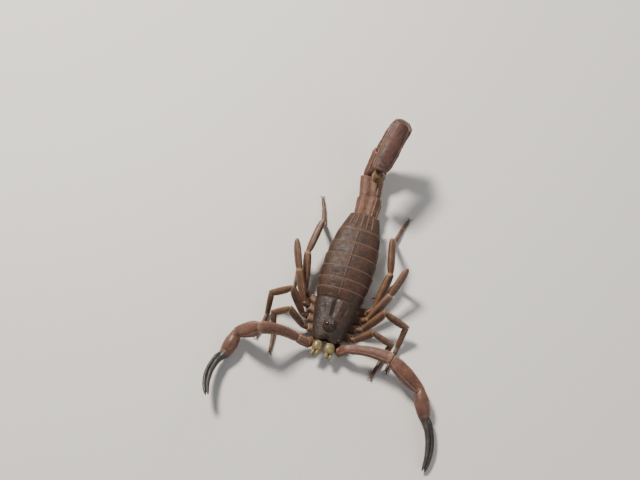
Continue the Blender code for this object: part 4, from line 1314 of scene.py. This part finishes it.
TAIL_SIZE = ((0, 0.72), (0.05, 0.84), (0.2, 0.95), (0.5, 0.99), (0.86, 1.05), (0.96, 1.04), (1, 0.94))
LAST_RING_SIZE = ((0, 0.7), (0.08, 0.79), (0.16, 0.86), (0.3, 0.96), (0.55, 1.0), (0.8, 0.94), (0.95, 0.84),
                  (1, 0.7))
TAIL_KEELS = (
    (32, 68, 98, 130, 163, 197, 230, 262, 292, 328),
    (35, 70, 126, 162, 198, 234, 290, 325),
    (35, 70, 126, 162, 198, 234, 290, 325),
    (35, 72, 126, 162, 198, 234, 288, 325),
    (48, 103, 130, 230, 257, 312),
)
KEEL_STRENGTH = (0.2, 0.2, 0.2, 0.22, 0.24)


def tail_limb():
    """Centre line of the tail and sting."""
    points = walk(TAIL_ROOT, TAIL_STEPS)
    return Limb(points + walk(points[-1], STING_STEPS)[1:], first=(0.0, 1.0, 0.0), reach=TAIL_REACH)


def tail_section(ring, limb):
    """Section of one tail ring, with beaded keels, grains and a furrow along its back."""
    first, last = TAIL_RINGS[ring]
    has_neck = last > first
    whole_length = sum(limb.length(step) for step in range(first, last + 1))

    def section(step, share, angle):
        place = share
        if has_neck:
            place = TAIL_NECK * share if step == first else TAIL_NECK + (1 - TAIL_NECK) * share
        size = blend(LAST_RING_SIZE if has_neck else TAIL_SIZE, place)
        strength = KEEL_STRENGTH[ring] * min(1.0, 9 * place, 9.4 - 9 * place)
        across, above, ridge = keeled((TAIL_HALF_WIDTHS[ring] * size, TAIL_HALF_HEIGHTS[ring] * size), angle,
                                      0.82, TAIL_KEELS[ring], (strength, 0.22), place * whole_length,
                                      0.075 * min(1.0, 14 * place, 14 - 14 * place), ring * 9.0, 0.33)
        hollow = 0.24 * peak(across, 1.1) if above > 0 else 0.0
        rim = peak(place - 0.97, 0.025) * beads(angle * 2.2, 0.25)
        joint = 0.75 * near_ends(place, 0.045, 0.025)
        return across * (1 + 0.025 * rim), (above - hollow) * (1 + 0.025 * rim), max(ridge, 0.6 * rim), joint

    return section


def make_tail():
    """Five keeled rings, the soft skin between them, dark with painted shade, and the sting."""
    limb = tail_limb()
    for ring, (first, last) in enumerate(TAIL_RINGS):
        section = tail_section(ring, limb)
        form = new_form()
        rings = (22, 118) if last > first else (118,)
        limb_skin(form, limb, (first, last), rings, 176, section, (0.22, 0.02))
        finish = tail_shell if ring < 3 else tail_end_shell
        finished("tail_ring_%d" % (ring + 1), form, finish, ["metasoma_%d" % (ring + 1)])
        plant(limb, last, section, 26, 0.5)
    knobs = joint_knobs(limb, ((0, 1.62), (1, 1.62), (2, 1.62), (3, 1.62), (4, 1.5), (6, 0.8)))
    # The tail's joint skin takes the dark finish of painted shade, so the gaps between the rings read as
    # shadow.
    make_joint_skin("tail_joint_skin", knobs, tail_skin_painted_shade, 0.12)
    make_sting(limb)


def make_sting(limb):
    """Glossy venom bulb with its small tubercle and the curved dark sting."""
    bulb = len(TAIL_STEPS)

    def section(step, share, angle):
        whole = step - bulb + share
        width = blend(((0, 0.42), (0.3, 0.5), (0.7, 0.52), (1, 0.74), (1.3, 1.0), (1.6, 0.94), (1.85, 0.58),
                       (2, 0.36), (3, 0.2), (3.8, 0.08), (4, 0.02)), whole)
        height = blend(((0, 0.42), (0.3, 0.5), (0.7, 0.54), (1, 0.78), (1.35, 1.0), (1.65, 0.9), (1.88, 0.54),
                        (2, 0.38), (3, 0.22), (3.8, 0.08), (4, 0.02)), whole)
        across = VESICLE_HALF_WIDTH * width * math.sin(angle)
        above = VESICLE_HALF_HEIGHT * height * math.cos(angle)
        sag = blend(((0, 0), (1, -0.1), (1.4, -0.25), (2, 0.1), (4, 0)), whole)
        belt = 0.012 * granules(Vector((across, whole * 3, above)), 0.35) * (whole < 2)
        groove = -0.05 * peak(across, 0.3) * (above < 0) * bump(whole - 0.8) * (whole < 1.7)
        grown = 1 + (belt + groove) / max(0.3, math.hypot(across, above))
        # Dark toward the sting's tip, which is its own colour; the half-strength dark ring at the bulb's
        # root, where it tucks into the last tail ring, is painted shade.
        dark = max(bump((whole - 2.3) / 1.2), 0.5 * bump(1 - whole / 0.12))
        return across * grown, above * grown + sag, 0.3 * belt / 0.012, dark

    form = new_form()
    limb_skin(form, limb, (bulb, bulb + 3), (24, 56, 26, 26), 72, section, (0.15, 0.0), (True, False))
    root = limb.spot(bulb + 1, 0.78, 0, -0.75)
    tip = limb.spot(bulb + 1, 0.97, 0, -1.42)

    def knob(step, share, angle):
        size = blend(((0, 0.42), (0.5, 0.3), (0.9, 0.14), (1, 0.03)), share)
        return disc(size, angle, 0.5 * bump((share - 0.5) / 0.5))

    prong(form, (root, tip), 12, 18, knob)
    finished("sting_bulb", form, bulb_shell, ["telson"])
    plant(limb, bulb + 1, section, 40, 0.7, 0.05, 0.95, 0.3)


def make_bristles():
    """All the fine bristles, each a slim tapered hair, in one piece."""
    form = bmesh.new()
    for root, way, length in bristle_spots:
        if (root + way * length).z < BRISTLE_FLOOR:
            continue
        turn = Vector((0, 0, 1)).rotation_difference(way).to_matrix().to_4x4()
        place = Matrix.Translation(root + way * (length * BRISTLE_OUT)) @ turn
        bmesh.ops.create_cone(form, cap_ends=True, segments=4, radius1=BRISTLE_RADII[0],
                              radius2=BRISTLE_RADII[1], depth=length, matrix=place)
    finished("bristles", form, bristle_hair)


# Studio

def make_floor():
    """A plain floor at the height of the feet."""
    form = bmesh.new()
    bmesh.ops.create_grid(form, x_segments=2, y_segments=2, size=FLOOR_HALF_WIDTH)
    mesh = bpy.data.meshes.new("studio_floor")
    form.to_mesh(mesh)
    form.free()
    mesh.materials.append(floor_paper)
    floor = add_object("studio_floor", mesh)


def make_light(name, place, size, power, colour):
    """A soft square lamp that points at the animal, with its place in metres from it."""
    lamp = bpy.data.lights.new(name, "AREA")
    lamp.size = size
    lamp.energy = power
    lamp.color = colour
    thing = add_object(name, lamp)
    thing.location = DESK + Vector((0, LIGHT_AIM, 0)) + Vector(place)
    thing.rotation_euler = Vector(place).to_track_quat("Z", "Y").to_euler()


def make_studio():
    """Camera at the photo's angle and distance, soft lights and a pale floor."""
    make_floor()
    for name, values in LIGHTS.items():
        make_light(name, *values)
    world = bpy.data.worlds.new("studio")
    world.use_nodes = True
    sky = world.node_tree.nodes["Background"]
    sky.inputs["Color"].default_value = SKY_COLOUR
    sky.inputs["Strength"].default_value = SKY_STRENGTH
    bpy.context.scene.world = world

    turn, lift = math.radians(CAMERA_AZIMUTH), math.radians(CAMERA_ELEVATION)
    right = Vector((math.cos(turn), math.sin(turn), 0))
    back = Vector((math.sin(turn) * math.cos(lift), -math.cos(turn) * math.cos(lift), math.sin(lift)))
    up = back.cross(right)
    aside = (HEAD_PIXEL[0] - PHOTO_SIZE[0] / 2) / CAMERA_FOCAL_PIXELS * CAMERA_DISTANCE
    below = (HEAD_PIXEL[1] - PHOTO_SIZE[1] / 2) / CAMERA_FOCAL_PIXELS * CAMERA_DISTANCE
    head = DESK + Vector((0, 0, HEAD_HEIGHT * MM))
    lens = bpy.data.cameras.new("photo_view")
    lens.sensor_width = SENSOR_WIDTH
    lens.lens = CAMERA_FOCAL_PIXELS * lens.sensor_width / PHOTO_SIZE[0]
    lens.clip_start = NEAR_CLIP
    camera = add_object("photo_view", lens)
    axes = Matrix((right, up, back)).transposed()
    camera.matrix_world = Matrix.LocRotScale(head + back * CAMERA_DISTANCE - right * aside + up * below,
                                             axes.to_quaternion(), None)
    bpy.context.scene.camera = camera


def main():
    make_studio()
    make_shield()
    make_eyes()
    make_trunk()
    make_jaws()
    make_underside()
    make_combs()
    make_tail()
    for side, label in LABELS.items():
        make_arm(side, label)
        for row in range(4):
            make_leg(side, label, row)
    make_bristles()


main()
